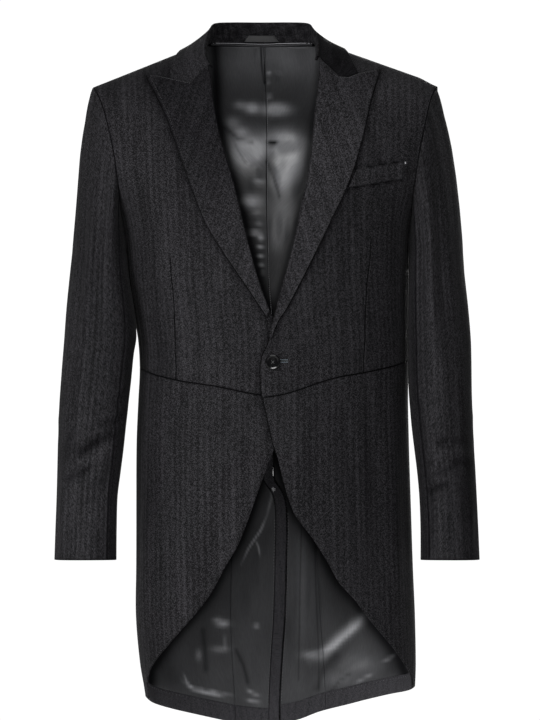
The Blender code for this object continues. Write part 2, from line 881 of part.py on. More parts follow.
def sleeve(side, name, hole):
    """The sleeve's two pieces, from the armhole to the cuff."""
    count = len(hole)
    ends = [p for p, n in hole]
    far = [0.0]
    for k in range(count):
        far.append(far[-1] + (ends[(k + 1) % count] - ends[k]).length)
    low = min(range(count), key=lambda k: ends[k].z)
    angles = []
    for k in range(count):
        if k <= low:
            angles.append(180 * far[k] / far[low])
        else:
            angles.append(180 + 180 * (far[k] - far[low]) / (far[count] - far[low]))
    cap = []
    for k, angle in enumerate(angles):
        p, n = hole[k]
        run = (ends[(k + 1) % count] - ends[k - 1]).normalized()
        aside = n.cross(run) * side
        foot = on_ring(side, SLEEVE[0], angle)
        way = foot - p
        lean = (CAP_LEAN[0] + CAP_LEAN[1] * math.cos(math.radians(angle))) * CAP_OUT[side > 0]
        leave = Vector((side * max(lean, 0.0), 0, -1)).normalized() * way.length * CAP_LEAVE
        arrive = Vector((side * CAP_FLARE, 0, -1)) * way.length * CAP_ARRIVE
        path = []
        for t in CAP_ROWS:
            a = (2 * t**3 - 3 * t**2 + 1) * p + (t**3 - 2 * t**2 + t) * leave
            path.append(a + (3 * t**2 - 2 * t**3) * foot + (t**3 - t**2) * arrive)
        rise = path[2] - p
        turn = max(0.0, math.atan2(rise.dot(n), rise.dot(aside)))
        outer = n * math.cos(turn) - aside * math.sin(turn)
        path[0] = p + (aside * math.cos(turn / 2) + n * math.sin(turn / 2)) * SEAM
        cap.append((path, outer))
    points = [[cap[k][0][j] for k in range(count)] for j in range(len(CAP_ROWS))]
    for row in SLEEVE[1:]:
        points.append([on_ring(side, row, a) for a in angles])
    normals = [[c[1] for c in cap]]
    for j in range(1, len(points)):
        line = []
        for k in range(count):
            around = points[j][(k + 1) % count] - points[j][k - 1]
            down = points[min(j + 1, len(points) - 1)][k] - points[j - 1][k]
            line.append((around.cross(down) * side).normalized())
        normals.append(line)
    normals[1] = [(a + b).normalized() for a, b in zip(normals[0], normals[2])]

    def creased(j, k):
        return crease(angles[k], points[j][k].z) if j > len(CAP_ROWS) else 0.0

    tubes = Sheet(points, normals).moved(creased)
    fore = min(range(count), key=lambda k: abs(angles[k] - FOREARM_SEAM))
    hind = min(range(count), key=lambda k: abs(angles[k] - HIND_SEAM))
    rows = range(len(points))
    top = [k % count for k in range(hind, count + fore + 1)]
    under = list(range(fore, hind + 1))
    wall("top_sleeve_" + name, tubes.part(rows, top).trimmed(["first", "last"]), -CLOTH, 0, WOOL)
    wall("under_sleeve_" + name, tubes.part(rows, under).trimmed(["first", "last"]), -CLOTH, 0, WOOL)


def lapel(side, name):
    """A lapel, lying a little off the front and more so at its roll."""
    top = TOP_LEFT if side > 0 else TOP_RIGHT
    parts = [part**LAPEL_CROWD for part in even(LAPEL_ROWS)]
    inner = along(INNER_LEFT if side > 0 else INNER_RIGHT, parts)
    outer = along(OUTER_LEFT if side > 0 else OUTER_RIGHT, parts)
    cols = len(top) - 1
    foot = []
    for i in range(cols + 1):
        foot.append([mix(a, b, i / cols) for a, b in zip(inner[-1], outer[-1])])
    sheet = patch(side, top, foot, inner, outer)
    if side < 0:
        sheet = tuck_right(sheet)
    sheet = sheet.trimmed(["top"])

    def lift(j, i):
        whole, roll, gorge = LAPEL_LIFT
        return whole + roll * (1 - i / cols) ** 2 + gorge * (1 - smooth(0, LAPEL_TOP_ROWS, j))

    wall("lapel_" + name, sheet.moved(lift), 0, LAPEL_WALL, WOOL)


def fall(side, start, edge, part, away):
    """A point of the collar's fall, kept clear of the shoulder."""
    p = mix(start, edge, part) + away * (FALL_ROUND * part * (1 - part))
    lift = COLLAR_LIFT + COLLAR_WALL / 2 + FALL_CLEAR * (1 - part)
    foot, n = on_top(side, side * (p.x - CENTRE(p.z)), p.y)
    lowest = foot + n * lift
    return lowest if p.z < lowest.z else p


def stations(side, top):
    """The collar's sections from the centre back to the gorge."""
    made = []
    for x, y, z, depth, edge_x, edge_y in COLLAR:
        fold = Vector((COLLAR_X + side * x, y, z))
        away = Vector((side * x, y + COLLAR_AIM if y > 0 else 0, 0)).normalized()
        seam = fold - away * STAND_IN - Vector((0, 0, depth))
        inside = fold - away * FOLD_INSIDE[0] - Vector((0, 0, FOLD_INSIDE[1]))
        foot, n = on_top(side, edge_x + side * (COLLAR_X - CENTRE(z)), edge_y)
        edge = foot + n * (COLLAR_LIFT + COLLAR_WALL / 2)
        start = fold + away * FOLD_OUTSIDE[0] - Vector((0, 0, FOLD_OUTSIDE[1]))
        rim = [start] + [fall(side, start, edge, part, away) for part in FALL_PARTS] + [edge]
        made.append([seam, mix(seam, inside, 0.5), inside, fold + Vector((0, 0, FOLD_RISE))] + rim)
    gorge = []
    for k, more in zip(GORGE_AT, GORGE_LIFT):
        angle, level = front_spot(side, *top[k])
        n = outward(side, angle, level)
        gorge.append(body(side, angle, level) + n * (COLLAR_LIFT + COLLAR_WALL / 2 + more))
    fold = gorge[0] + n * END_FOLD[1] + Vector((-side * END_FOLD[0], 0, 0))
    inside = gorge[0] + Vector((-side * END_INSIDE[0], 0, 0)) - n * END_INSIDE[1]
    seam = inside - n * END_SEAM[1] + Vector((side * END_SEAM[0], 0, 0))
    made.append([seam, mix(seam, inside, 0.5), inside, fold] + gorge)
    return made


def collar():
    """Stand inside and fall outside in one strip that folds at its top."""
    chain = list(reversed(stations(-1, TOP_RIGHT))) + stations(1, TOP_LEFT)[1:]
    fine = []
    for k in range(len(chain) - 1):
        ahead = chain[max(k - 1, 0)], chain[k], chain[k + 1], chain[min(k + 2, len(chain) - 1)]
        for part in (0, 0.5):
            fine.append([bend(*ends, part) for ends in zip(*ahead)])
    fine.append(chain[-1])
    normals = []
    for j, line in enumerate(fine):
        outs = []
        for i in range(len(line)):
            run = fine[min(j + 1, len(fine) - 1)][i] - fine[max(j - 1, 0)][i]
            over = line[min(i + 1, len(line) - 1)] - line[max(i - 1, 0)]
            outs.append(over.cross(run).normalized())
        normals.append(outs)
    sheet = Sheet(fine, normals)
    sheet = sheet.trimmed(["top", "bottom"], COLLAR_GAP)
    wall("collar", sheet, -COLLAR_WALL / 2, COLLAR_WALL / 2, WOOL)
    middle = len(fine) // 2
    rows = []
    for part in LOOP_ENDS:
        rows.append([mix(fine[middle + k][0], fine[middle + k][1], part) for k in LOOP_AT])
    tape = Sheet(rows, [[Vector((0, -1, 0)) for k in LOOP_AT] for part in rows])
    tape = tape.moved(lambda j, i: LOOP_LIFT[i])
    wall("hanger_loop", tape, 0, LOOP_WALL, TAPE)


def bend(a, b, c, d, t):
    """A point between b and c on a smooth line through four points."""
    square = 2 * a - 5 * b + 4 * c - d
    cube = 3 * b - a - 3 * c + d
    return 0.5 * (2 * b + (c - a) * t + square * t**2 + cube * t**3)


def pocket():
    """The welt of the breast pocket."""
    top, low = along(POCKET_TOP, even(6)), along(POCKET_LOW, even(6))
    sheet = patch(1, top, low, [top[0], low[0]], [top[-1], low[-1]])
    wall("welt_pocket", sheet, *WELT, WOOL)


def cutter(name, at, turn):
    """A hidden cylinder that one of the button's holes is cut with."""
    radius, long = HOLE_RADIUS * METRE, CUTTER_LONG * METRE
    bpy.ops.mesh.primitive_cylinder_add(vertices=HOLE_SIDES, radius=radius, depth=long)
    thing = bpy.context.object
    thing.name = name
    thing.matrix_world = turn @ thing.matrix_world
    thing.location = at
    for group in thing.users_collection:
        group.objects.unlink(thing)
    CUTTERS.objects.link(thing)
    thing.hide_render = True
    thing.display_type = "WIRE"
    return thing


def button():
    """The button and the crossed thread in its dish."""
    angle, level = front_spot(1, *BUTTON_AT)
    n = outward(1, angle, level)
    seat = body(1, angle, level) + n * BUTTON_LIFT
    turn = n.to_track_quat("Z", "Y").to_matrix()
    steps = BUTTON_SIDES
    verts = [seat + turn @ Vector((0, 0, BUTTON[0][1]))]
    for r, h in BUTTON[1:-1]:
        for k in range(steps):
            a = 2 * math.pi * k / steps
            verts.append(seat + turn @ Vector((r * math.cos(a), r * math.sin(a), h)))
    verts.append(seat + turn @ Vector((0, 0, BUTTON[-1][1])))
    faces = []
    rings = len(BUTTON) - 2
    for k in range(steps):
        m = (k + 1) % steps
        faces.append((0, 1 + m, 1 + k))
        for j in range(rings - 1):
            a, b = 1 + j * steps, 1 + (j + 1) * steps
            faces.append((a + k, a + m, b + m, b + k))
        a = 1 + (rings - 1) * steps
        faces.append((a + k, a + m, len(verts) - 1))
    disc = make("button", verts, faces, HORN)
    for k in range(4):
        a = math.radians(45 + 90 * k)
        at = seat + turn @ Vector((HOLE_OUT * math.cos(a), HOLE_OUT * math.sin(a), 0))
        tool = cutter(f"button_hole_{k + 1}", at * METRE, turn.to_4x4())
        cut = disc.modifiers.new(tool.name, "BOOLEAN")
        cut.operation = "DIFFERENCE"
        cut.solver = "EXACT"
        cut.object = tool
    thread = crossed(seat + n * THREAD_LIFT, turn)
    make("button_thread", *thread, THREAD)


def crossed(at, turn):
    """A cross of thread between the holes, one closed body."""
    long, wide, tall = THREAD_ARM
    outline = [(wide, wide), (long, wide), (long, -wide), (wide, -wide), (wide, -long), (-wide, -long)]
    outline += [(-x, -y) for x, y in outline]
    tilt = math.radians(45)
    verts = []
    for h in (0, tall):
        for x, y in outline:
            across = x * math.cos(tilt) - y * math.sin(tilt)
            up = x * math.sin(tilt) + y * math.cos(tilt)
            verts.append(at + turn @ Vector((across, up, h)))
    count = len(outline)
    faces = [tuple(range(count)), tuple(range(2 * count - 1, count - 1, -1))]
    for k in range(count):
        m = (k + 1) % count
        faces.append((k, count + k, count + m, m))
    return verts, faces


def clear():
    for thing in list(bpy.data.objects):
        bpy.data.objects.remove(thing, do_unlink=True)


clear()
COAT = bpy.data.collections.new("morning_coat")
CUTTERS = bpy.data.collections.new("cutters")
bpy.context.scene.collection.children.link(COAT)
bpy.context.scene.collection.children.link(CUTTERS)
for way, which in ((-1, "right"), (1, "left")):
    sleeve(way, which, half(way, which))
    lapel(way, which)
collar()
pocket()
button()
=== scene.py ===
"""The looks of the morning coat: herringbone wool, satin lining, seams, stitches, folds and light.

Sizes are in millimetres until a mesh is made. The shapes are worked out from the same tables as
the solids, only finer, and each piece is a thin closed shell with rounded edges.
"""

import json
import math

import bpy
import numpy as np
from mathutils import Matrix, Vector

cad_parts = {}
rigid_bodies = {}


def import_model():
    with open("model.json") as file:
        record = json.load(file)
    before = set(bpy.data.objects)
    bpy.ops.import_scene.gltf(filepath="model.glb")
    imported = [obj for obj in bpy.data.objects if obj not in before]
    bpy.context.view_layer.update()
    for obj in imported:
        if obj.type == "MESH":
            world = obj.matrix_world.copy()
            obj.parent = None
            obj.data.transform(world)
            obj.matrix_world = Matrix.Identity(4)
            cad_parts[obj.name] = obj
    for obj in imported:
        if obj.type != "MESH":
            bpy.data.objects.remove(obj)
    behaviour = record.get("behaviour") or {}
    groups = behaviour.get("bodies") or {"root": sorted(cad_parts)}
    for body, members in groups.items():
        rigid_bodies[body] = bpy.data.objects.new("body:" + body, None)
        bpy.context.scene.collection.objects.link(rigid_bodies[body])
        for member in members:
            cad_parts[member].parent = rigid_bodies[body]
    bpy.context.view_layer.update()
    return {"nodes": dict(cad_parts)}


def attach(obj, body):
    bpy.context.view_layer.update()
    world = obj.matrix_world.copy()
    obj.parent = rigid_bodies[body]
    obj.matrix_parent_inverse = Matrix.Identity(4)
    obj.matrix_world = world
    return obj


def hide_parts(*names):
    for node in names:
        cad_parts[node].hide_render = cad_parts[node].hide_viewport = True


for thing in list(bpy.data.objects):
    bpy.data.objects.remove(thing, do_unlink=True)
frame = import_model()

METRE = 0.001
APART = 7  # between the noise of one piece and the next
SETTLE = 60  # rounds in which a sheet settles between its edges
DAMP = 0.3  # share of the way moved in each round
CLOTH = 2.0  # wall of the wool pieces
LINING = 1.0
INNER_HIGH = -CLOTH - 0.5
INNER_LOW = INNER_HIGH - LINING
ROUND = 2.35  # exponent of the body's rings
UNDERARM = -235.0
LEVEL_MM = 200.0  # height of one level below the armhole
RIDGE_Y = 6.0
NECK_HALF = 84.0
NECK_DEEP = 58.0
NECK_Z = 21.6
SLOPE_RIGHT = 0.39  # fall of the shoulder from the neck out
SLOPE_LEFT = 0.362
CLOSE_FRONT = 150.0  # height over which the front curves in to the shoulder
CLOSE_BACK = 135.0
NAPE_START = 0.45  # how upright the back begins under the collar
ARM_JOIN = 0.70  # level where the sidebody's seam meets the back of the armhole
SIDE_SEAM = 78.0

# Rings of the body: height, centre, half width, depth of the front and of the back, and how far
# behind the origin the ring is widest.
BODY = [
    (60, -7, 290, 110, 98, 0),
    (0, -3, 288, 118, 106, 0),
    (-40, -1, 282, 124, 111, 0),
    (-100, 0, 264, 132, 118, 0),
    (-135, 0, 249, 136, 119, 0),
    (-165, 0, 231, 138, 118, 0),
    (-192, 0, 213, 138, 116, 2),
    (-215, 0.5, 201.5, 137, 113, 4),
    (-235, 1, 196.5, 135, 110, 8),
    (-260, 1.75, 194.25, 132, 106, 14),
    (-300, 2.75, 192.25, 127, 99, 22),
    (-340, 5.75, 188.25, 122, 93, 26),
    (-381, 9.35, 184.15, 118, 88, 28),
    (-421, 10.4, 182.6, 116, 86, 28),
    (-460, 9.2, 183, 116, 90, 26),
    (-520, 8.7, 185.2, 119, 102, 20),
    (-593, 9.5, 187, 122, 114, 14),
    (-691, 10.9, 188.4, 123, 120, 8),
    (-756, 12.3, 189.8, 123, 121, 4),
    (-821, 15.7, 187.7, 122, 122, 4),
    (-856, 17.9, 184.1, 121, 122, 4),
    (-910, 20, 179, 120, 122, 4),
]
# Armhole: level, distance from the centre at the front and at the back.
ARMHOLE = [
    (0.0, 235, 235),
    (0.05, 230, 230),
    (0.1, 226, 226),
    (0.2, 220, 219),
    (0.35, 213, 211),
    (0.5, 207, 205),
    (0.7, 201, 200),
    (0.8, 198.5, 198),
    (0.9, 197, 196),
    (1.0, 193, 193),
]
# Bottom of the armhole, over the sidebody: angle and level.
ARM_BOTTOM = [(78, 1.0), (88, 1.03), (98, 1.03), (106, 0.97), (113, 0.86), (119.4, 0.70)]
# Seam between sidebody or skirt and the back: level and angle.
BACK_SEAM = [
    (0.70, 119.4), (0.8, 127), (0.9, 134), (1.0, 141), (1.3, 154), (1.6, 162), (1.93, 166.5),
    (2.6, 166), (4.4, 163),
]
# Waist seam and hem: angle, height on the wearer's right and on the left.
WAIST = [
    (-12, -457, -462),
    (0, -457, -457),
    (21, -444, -434),
    (39, -437, -425),
    (55, -430, -418),
    (78, -421, -410),
    (110, -416, -407),
    (180, -416, -407),
]
HEM = [
    (55, -862, -842),
    (69, -868, -847.5),
    (90, -866, -852),
    (109, -876, -859),
    (127, -884.5, -864.5),
    (142, -892, -872),
    (153, -898.5, -879.5),
    (166, -906.5, -889.5),
    (176, -910, -902),
    (190, -911, -911),
]
# Inner edge of each front from the neck to the waist seam, and of each skirt below it.
ROLL_RIGHT = [
    (-90, 22), (-89.5, 0), (-83, -19), (-72, -68), (-63, -107), (-43.5, -173), (-32.5, -218),
    (-23, -256), (-9.5, -303), (7, -347), (17, -385), (20, -420), (20, -470),
]
ROLL_LEFT = [
    (78, 24), (77, 0), (73, -19), (70, -45), (65, -75), (63, -95), (56, -157), (43, -218), (27.5, -284),
    (13, -338), (3, -384), (-3.8, -399), (-7, -408), (-8.3, -427), (-6.5, -452), (-5, -470),
]
SKIRT_RIGHT = [
    (21, -450), (18, -490), (10, -530), (-6, -571), (-36, -653), (-56, -688), (-76, -725), (-101, -757),
    (-134, -794), (-157, -824), (-161.5, -837), (-162.5, -849), (-160.5, -869), (-159, -880),
]
SKIRT_LEFT = [
    (-6.5, -450), (-1, -476), (4.5, -501), (12, -530), (36, -612), (65, -653), (82, -680), (99, -710),
    (120, -733), (137, -756), (159, -782), (185, -816), (195, -832), (198, -842), (199, -860),
]
# Lapels: gorge and top edge, then the outer edge down from the peak.
TOP_RIGHT = [
    (-78.2, -13.6), (-86.4, -19.6), (-101.9, -35.4), (-114.9, -32.4), (-128.5, -29.2), (-147.0, -24.8),
    (-162.5, -24.5),
]
TOP_LEFT = [
    (71.5, -1.5), (79.6, -10.3), (97.2, -27.2), (110.0, -27.5), (123.9, -22.3), (140.0, -18.6),
    (153.8, -15.8),
]
OUTER_RIGHT = [
    (-162.5, -24.5), (-137, -75), (-111, -147), (-84, -218), (-62, -256), (-41, -288), (-16.5, -324),
    (0.5, -350),
]
OUTER_LEFT = [
    (153.8, -15.8), (140.8, -57), (132.6, -95), (119.5, -143), (107, -177), (92, -208), (69, -257),
    (48, -299), (26.5, -339), (15.6, -355), (6.5, -378),
]
INNER_RIGHT = [
    (-78.2, -13.6), (-74.8, -30), (-70, -68), (-62.2, -107), (-42.8, -173), (-32, -218), (-22.4, -256),
    (-9.5, -303), (4.5, -343),
]
INNER_LEFT = [
    (71.5, -1.5), (71, -14), (69.5, -35), (64.6, -75), (63.2, -95), (55.9, -157), (42.8, -218),
    (27.3, -284), (12.6, -338), (3.2, -376),
]
# Collar, one half: fold (x, y, z), depth of the stand below it, outer edge in plan (x, y).
COLLAR = [
    (0, 60, 51, 29.5, 0, 84),
    (38, 53, 51, 28.5, 52, 75),
    (62, 38, 49.5, 27, 84, 51),
    (69, 23, 43.5, 21.5, 101, 30),
    (73, 6, 34.5, 12, 109, 8),
    (76, -16, 25, 8, 114, -12),
    (77, -38, 15.5, 8, 118, -30),
    (76.5, -58, 5.2, 7, 124, -51),
]
COLLAR_X = -6.8  # the collar sits a little to the wearer's right
LOOP_LIFT = (1.5, 5.0)  # of the hanger loop, at its ends and its middle
COLLAR_WALL = 2.2
FALL_ROUND = 2.5  # how full the collar's fall is
COLLAR_LIFT = 1.3
STAND_COLS = 15  # columns of the collar up to its fold
# Sleeves: height, inner and outer distance from the centre on the right and the left side,
# front and back.
SLEEVE = [
    (-262, 193.8, 264, 197.3, 266, -72, 62),
    (-300, 189.2, 267.5, 194.8, 269.5, -77, 55),
    (-340, 182.3, 271, 193.2, 273.5, -79, 51),
    (-381, 179, 274, 192.4, 276.8, -78, 48),
    (-410, 181.5, 276.6, 192.4, 277.8, -77, 46.5),
    (-432, 183.5, 278.5, 192.6, 278.3, -75, 45),
    (-450, 185.5, 280, 193.2, 278.7, -75, 43.5),
    (-466, 187.4, 281.2, 194.3, 279.3, -75, 42.5),
    (-482, 189, 282, 195.6, 280, -76, 41),
    (-498, 190.8, 282.6, 197, 280.8, -76, 39),
    (-528, 194, 283.6, 200.6, 282.2, -77, 34),
    (-560, 198, 284.3, 204.5, 284, -79, 28),
    (-593, 202, 285, 207.4, 285.5, -80, 22),
    (-635, 203, 286.3, 208.8, 287.3, -84, 12),
    (-679, 203.3, 287.6, 208.8, 289, -88, 3),
]
SLEEVE_TURN = 13.0  # degrees that the sleeve's sections turn their front inwards
CAP_OUT = (1.0, 0.7)  # how far the sleeve's head swells past the shoulder, right and left
HIND_SEAM = 248.0
FOREARM_SEAM = 118.0
POCKET_LOW = [(110.5, -175.3), (182.9, -163.2)]
POCKET_TOP = [(121.5, -150.4), (185.6, -139.8)]
SLIT_Z = -409.4  # height of the buttonhole
VENT_TOP = 2.70
VENT_Z = -700.0  # height at which widths at the vent are turned into angles
# How far the tail's edge passes the centre back: level, right tail and left tail.
VENT = [
    (2.5, 0, 0),
    (2.6, 0, 0),
    (2.66, 0, 0),
    (2.7, 3, 1),
    (2.76, 11, 3),
    (2.84, 16, 5),
    (2.95, 17, 7),
    (3.1, 16.5, 8),
    (3.6, 12, 8),
    (3.9, 5, 8),
    (4.15, -1, 8),
    (4.4, -3.5, 8),
]
VENT_FACING = 14.0


class Curve:
    """A smooth line through a table's rows, straight on beyond its ends."""

    def __init__(self, xs, ys):
        order = np.argsort(xs)
        self.xs = np.array(xs, float)[order]
        self.ys = np.array(ys, float)[order]
        count = len(xs)
        a = np.maximum(np.arange(count) - 1, 0)
        b = np.minimum(np.arange(count) + 1, count - 1)
        self.slopes = (self.ys[b] - self.ys[a]) / (self.xs[b] - self.xs[a])

    def __call__(self, x):
        x = np.asarray(x, float)
        xs, ys, slopes = self.xs, self.ys, self.slopes
        i = np.clip(np.searchsorted(xs, x) - 1, 0, len(xs) - 2)
        span = xs[i + 1] - xs[i]
        t = (x - xs[i]) / span
        rise = ys[i + 1] - ys[i]
        bend_a = slopes[i] * span - rise
        bend_b = rise - slopes[i + 1] * span
        inside = ys[i] + rise * t + t * (1 - t) * ((1 - t) * bend_a + t * bend_b)
        low = ys[0] + (x - xs[0]) * slopes[0]
        high = ys[-1] + (x - xs[-1]) * slopes[-1]
        return np.where(x <= xs[0], low, np.where(x >= xs[-1], high, inside))


def column(rows, x, y):
    return Curve([r[x] for r in rows], [r[y] for r in rows])


CENTRE, HALF, FRONT, BACK, WIDEST = (column(BODY, 0, c) for c in (1, 2, 3, 4, 5))
ARM_FRONT, ARM_BACK = (column(ARMHOLE, 0, c) for c in (1, 2))
ARM_LOW = column(ARM_BOTTOM, 0, 1)
LAP_RIGHT, LAP_LEFT = (column(VENT, 0, c) for c in (1, 2))
BACK_LINE = column(BACK_SEAM, 0, 1)


def smooth(a, b, x):
    t = np.clip((np.asarray(x, float) - a) / (b - a), 0, 1)
    return t * t * (3 - 2 * t)


def mix(a, b, t):
    return a + (b - a) * t


def unit(v):
    return v / np.maximum(np.linalg.norm(v, axis=-1, keepdims=True), 1e-9)


def vec(x, y, z):
    return np.stack(np.broadcast_arrays(np.asarray(x, float), y, z), -1)


def shoulder_z(side, x):
    slope = SLOPE_LEFT if side > 0 else SLOPE_RIGHT
    return NECK_Z - slope * np.maximum(np.abs(x) - NECK_HALF, 0)


def height(side, x, level):
    top = shoulder_z(side, x)
    return np.where(level < 1, top - level * (top - UNDERARM), UNDERARM - (level - 1) * LEVEL_MM)


def level_at(side, x, z):
    top = shoulder_z(side, x)
    return np.where(z > UNDERARM, (top - z) / (top - UNDERARM), 1 + (UNDERARM - z) / LEVEL_MM)


def angle_at(x, z):
    part = np.minimum(1.0, np.abs(x) / HALF(z)) ** (ROUND / 2)
    return np.copysign(np.degrees(np.arcsin(part)), x)


def arc(h):
    return np.sqrt(np.maximum(0.0, 1 - (1 - np.minimum(h, 1.0)) ** 2))


def neck_dip(x):
    return NECK_DEEP * np.sqrt(np.maximum(0.0, 1 - (x / NECK_HALF) ** 2))


def nape(x):
    return NAPE_START * np.maximum(0.0, 1 - (x / 100) ** 2)


def body(side, angle, level):
    """A point of the cloth's outer face."""
    turn = np.radians(np.asarray(angle, float))
    level = np.asarray(level, float)
    across = np.abs(np.sin(turn)) ** (2 / ROUND)
    along = np.abs(np.cos(turn)) ** (2 / ROUND)
    z = height(side, 200.0, level)
    for _ in range(8):
        x = HALF(z) * across
        z = height(side, x, level)
    behind = np.abs(angle) > 90
    drop = (shoulder_z(side, x) - z) / np.where(behind, CLOSE_BACK, CLOSE_FRONT)
    ridge = RIDGE_Y + np.where(behind, neck_dip(x), 0.0)
    begin = np.where(behind, nape(x), 0.0)
    deep = np.where(behind, BACK(z), -FRONT(z)) * along + WIDEST(z) * (1 - along)
    part = (arc(begin + (1 - begin) * drop) - arc(begin)) / (1 - arc(begin))
    part = np.where(drop < 1, part, 1.0)
    x = np.where(np.sin(turn) < 0, -x, x)
    return vec(CENTRE(z) + side * x, ridge * (1 - part) + deep * part, z)


def outward(side, angle, level):
    level = np.asarray(level, float)
    step = np.where(level < 1e-4, 1e-5, 1e-3)
    low = np.maximum(level - step, 0.0)
    round_it = body(side, angle + 0.2, level) - body(side, angle - 0.2, level)
    down = body(side, angle, level + step) - body(side, angle, low)
    return unit(np.cross(round_it, down) * -side)


def front_spot(side, x, z):
    own = side * (np.asarray(x, float) - CENTRE(z))
    return angle_at(own, z), level_at(side, own, z)


def on_front(side, x, z, lift=0.0):
    """Points of the front that show at x and z, moved out by lift, and the direction out."""
    angle, level = front_spot(side, x, z)
    n = outward(side, angle, level)
    return body(side, angle, level) + n * np.asarray(lift, float)[..., None], n


def edge_line(side, points):
    spots = [front_spot(side, x, z) for x, z in points]
    return Curve([float(s[1]) for s in spots], [float(s[0]) for s in spots])


def on_top(side, x, y):
    """The body's point over a place in plan near the neck, and the direction out of it."""
    behind = y > RIDGE_Y
    close = CLOSE_BACK if behind else CLOSE_FRONT
    z = shoulder_z(side, x)
    for _ in range(8):
        part = np.minimum(1.0, np.abs(x) / HALF(z)) ** ROUND
        deep = (BACK(z) if behind else -FRONT(z)) * (1 - part) ** (1 / ROUND)
        ridge = RIDGE_Y + (neck_dip(x) if behind else 0.0)
        begin = nape(x) if behind else 0.0
        reach = np.clip((y - ridge) / (deep - ridge), 0, 1)
        high = arc(begin) + (1 - arc(begin)) * reach
        drop = (1 - np.sqrt(1 - high * high) - begin) / (1 - begin)
        z = shoulder_z(side, x) - drop * close
    angle, level = angle_at(x, z), level_at(side, x, z)
    if behind:
        angle = 180 - angle
    return body(side, angle, level), outward(side, angle, level)


def dense(rows, step):
    """A table's rows or a list of numbers, with more between them."""
    rows = np.array(rows, float)
    made = [rows[0]]
    for a, b in zip(rows, rows[1:]):
        made += [mix(a, b, (k + 1) / step) for k in range(step)]
    return np.array(made)


def ring_length(angle, z):
    """Length round the body at a height, from the centre front to an angle."""
    total = np.zeros_like(angle)
    steps = 28
    last = None
    for k in range(steps + 1):
        turn = np.radians(angle) * k / steps
        across = np.abs(np.sin(turn)) ** (2 / ROUND)
        straight = np.abs(np.cos(turn)) ** (2 / ROUND)
        deep = np.where(np.abs(turn) > math.pi / 2, BACK(z), -FRONT(z))
        x = HALF(z) * across * np.sign(turn + 1e-12)
        spot = vec(x, deep * straight + WIDEST(z) * (1 - straight), 0 * z)
        if last is not None:
            total += np.linalg.norm(spot - last, axis=-1)
        last = spot
    return total * np.sign(angle)


def run_of(points):
    """Lengths along points, row by row, from the first row."""
    steps = np.linalg.norm(np.diff(points, axis=0), axis=-1)
    return np.concatenate([np.zeros((1,) + steps.shape[1:]), np.cumsum(steps, 0)])


class Sheet:
    """Rows of points of a piece of cloth, the direction out of it, and its place in the cloth."""

    def __init__(self, points, normals, cloth=None):
        self.points = points
        self.normals = normals
        if cloth is None:
            cloth = own_cloth(points)
        self.cloth = cloth

    def part(self, rows, cols):
        pick = np.ix_(list(rows), list(cols))
        return Sheet(self.points[pick], self.normals[pick], self.cloth[pick])

    def moved(self, by):
        by = np.asarray(by, float)
        far = by[..., None] if by.ndim else by
        return Sheet(self.points + self.normals * far, self.normals, self.cloth)


def own_cloth(points):
    """Lengths along the rows and the columns, from the first of each."""
    return np.stack([run_of(np.swapaxes(points, 0, 1)).T, run_of(points)], -1)


def laid(side, rows, cols, inner, outer, level, warp=None):
    """A sheet between two edge lines; level gives each row's level at an angle."""
    row, part = np.meshgrid(np.array(rows, float), np.array(cols, float), indexing="ij")
    angle = np.full(row.shape, 90.0)
    for _ in range(SETTLE):
        here = level(angle, row)
        first, last = inner(here), outer(here)
        place = part if warp is None else warp(part, first, last, here)
        angle = angle + DAMP * (mix(first, last, place) - angle)
    here = level(angle, row)
    points = body(side, angle, here)
    v = run_of(points)
    v = v - v[-1:] - points[-1:, :, 2]
    cloth = np.stack([ring_length(angle, points[..., 2]), v], -1)
    return Sheet(points, outward(side, angle, here), cloth)


def along(points, parts):
    """Points at parts of the length of a smooth line through the points given."""
    points = np.array(points, float)
    far = run_of(points)
    across, up = Curve(far, points[:, 0]), Curve(far, points[:, 1])
    parts = np.asarray(parts, float)
    return np.stack([across(far[-1] * parts), up(far[-1] * parts)], -1)


def patch(side, top, bottom, first, last):
    """A sheet on the front that fills four edges, given as rows of x and z."""
    w = np.linspace(0, 1, len(first))[:, None, None]
    u = np.linspace(0, 1, len(top))[None, :, None]
    ends = mix(mix(top[0], top[-1], u), mix(bottom[0], bottom[-1], u), w)
    spot = mix(top[None], bottom[None], w) + mix(first[:, None], last[:, None], u) - ends
    points, normals = on_front(side, spot[..., 0], spot[..., 1])
    cloth = np.stack([side * spot[..., 0], -spot[..., 1]], -1)
    return draped(Sheet(points, normals, cloth))


def nearest(at, line):
    """How far each point is from a line, and the part of the line's length it is nearest to."""
    line = np.array(line, float)
    lengths = np.linalg.norm(np.diff(line, axis=0), axis=1)
    best = np.full(at.shape[:-1], 1e9)
    where = np.zeros(best.shape)
    run = 0.0
    for a, b, long in zip(line, line[1:], lengths):
        t = np.clip(((at - a) @ (b - a)) / (long * long), 0, 1)
        away = np.linalg.norm(at - (a + t[..., None] * (b - a)), axis=-1)
        closer = away < best
        best = np.where(closer, away, best)
        where = np.where(closer, (run + t * long) / lengths.sum(), where)
        run += long
    return best, where


def beside(at, line, width):
    """1 on a line, falling off on both sides of it."""
    return np.exp(-((nearest(at, line)[0] / width) ** 2))


def shaded(at, made, lines):
    """Darkens what lies along lines: each row is a half width, how much, and the line."""
    for width, much, line in lines:
        made = made * (1 - much * beside(at, line, width))
    return made


def spots(at, table):
    """Soft patches: each row is a place, half sizes and an amount."""
    far = np.zeros(at.shape[:-1])
    for x, z, wide, tall, much in table:
        far += much * np.exp(-(((at[..., 0] - x) / wide) ** 2) - ((at[..., 1] - z) / tall) ** 2)
    return far


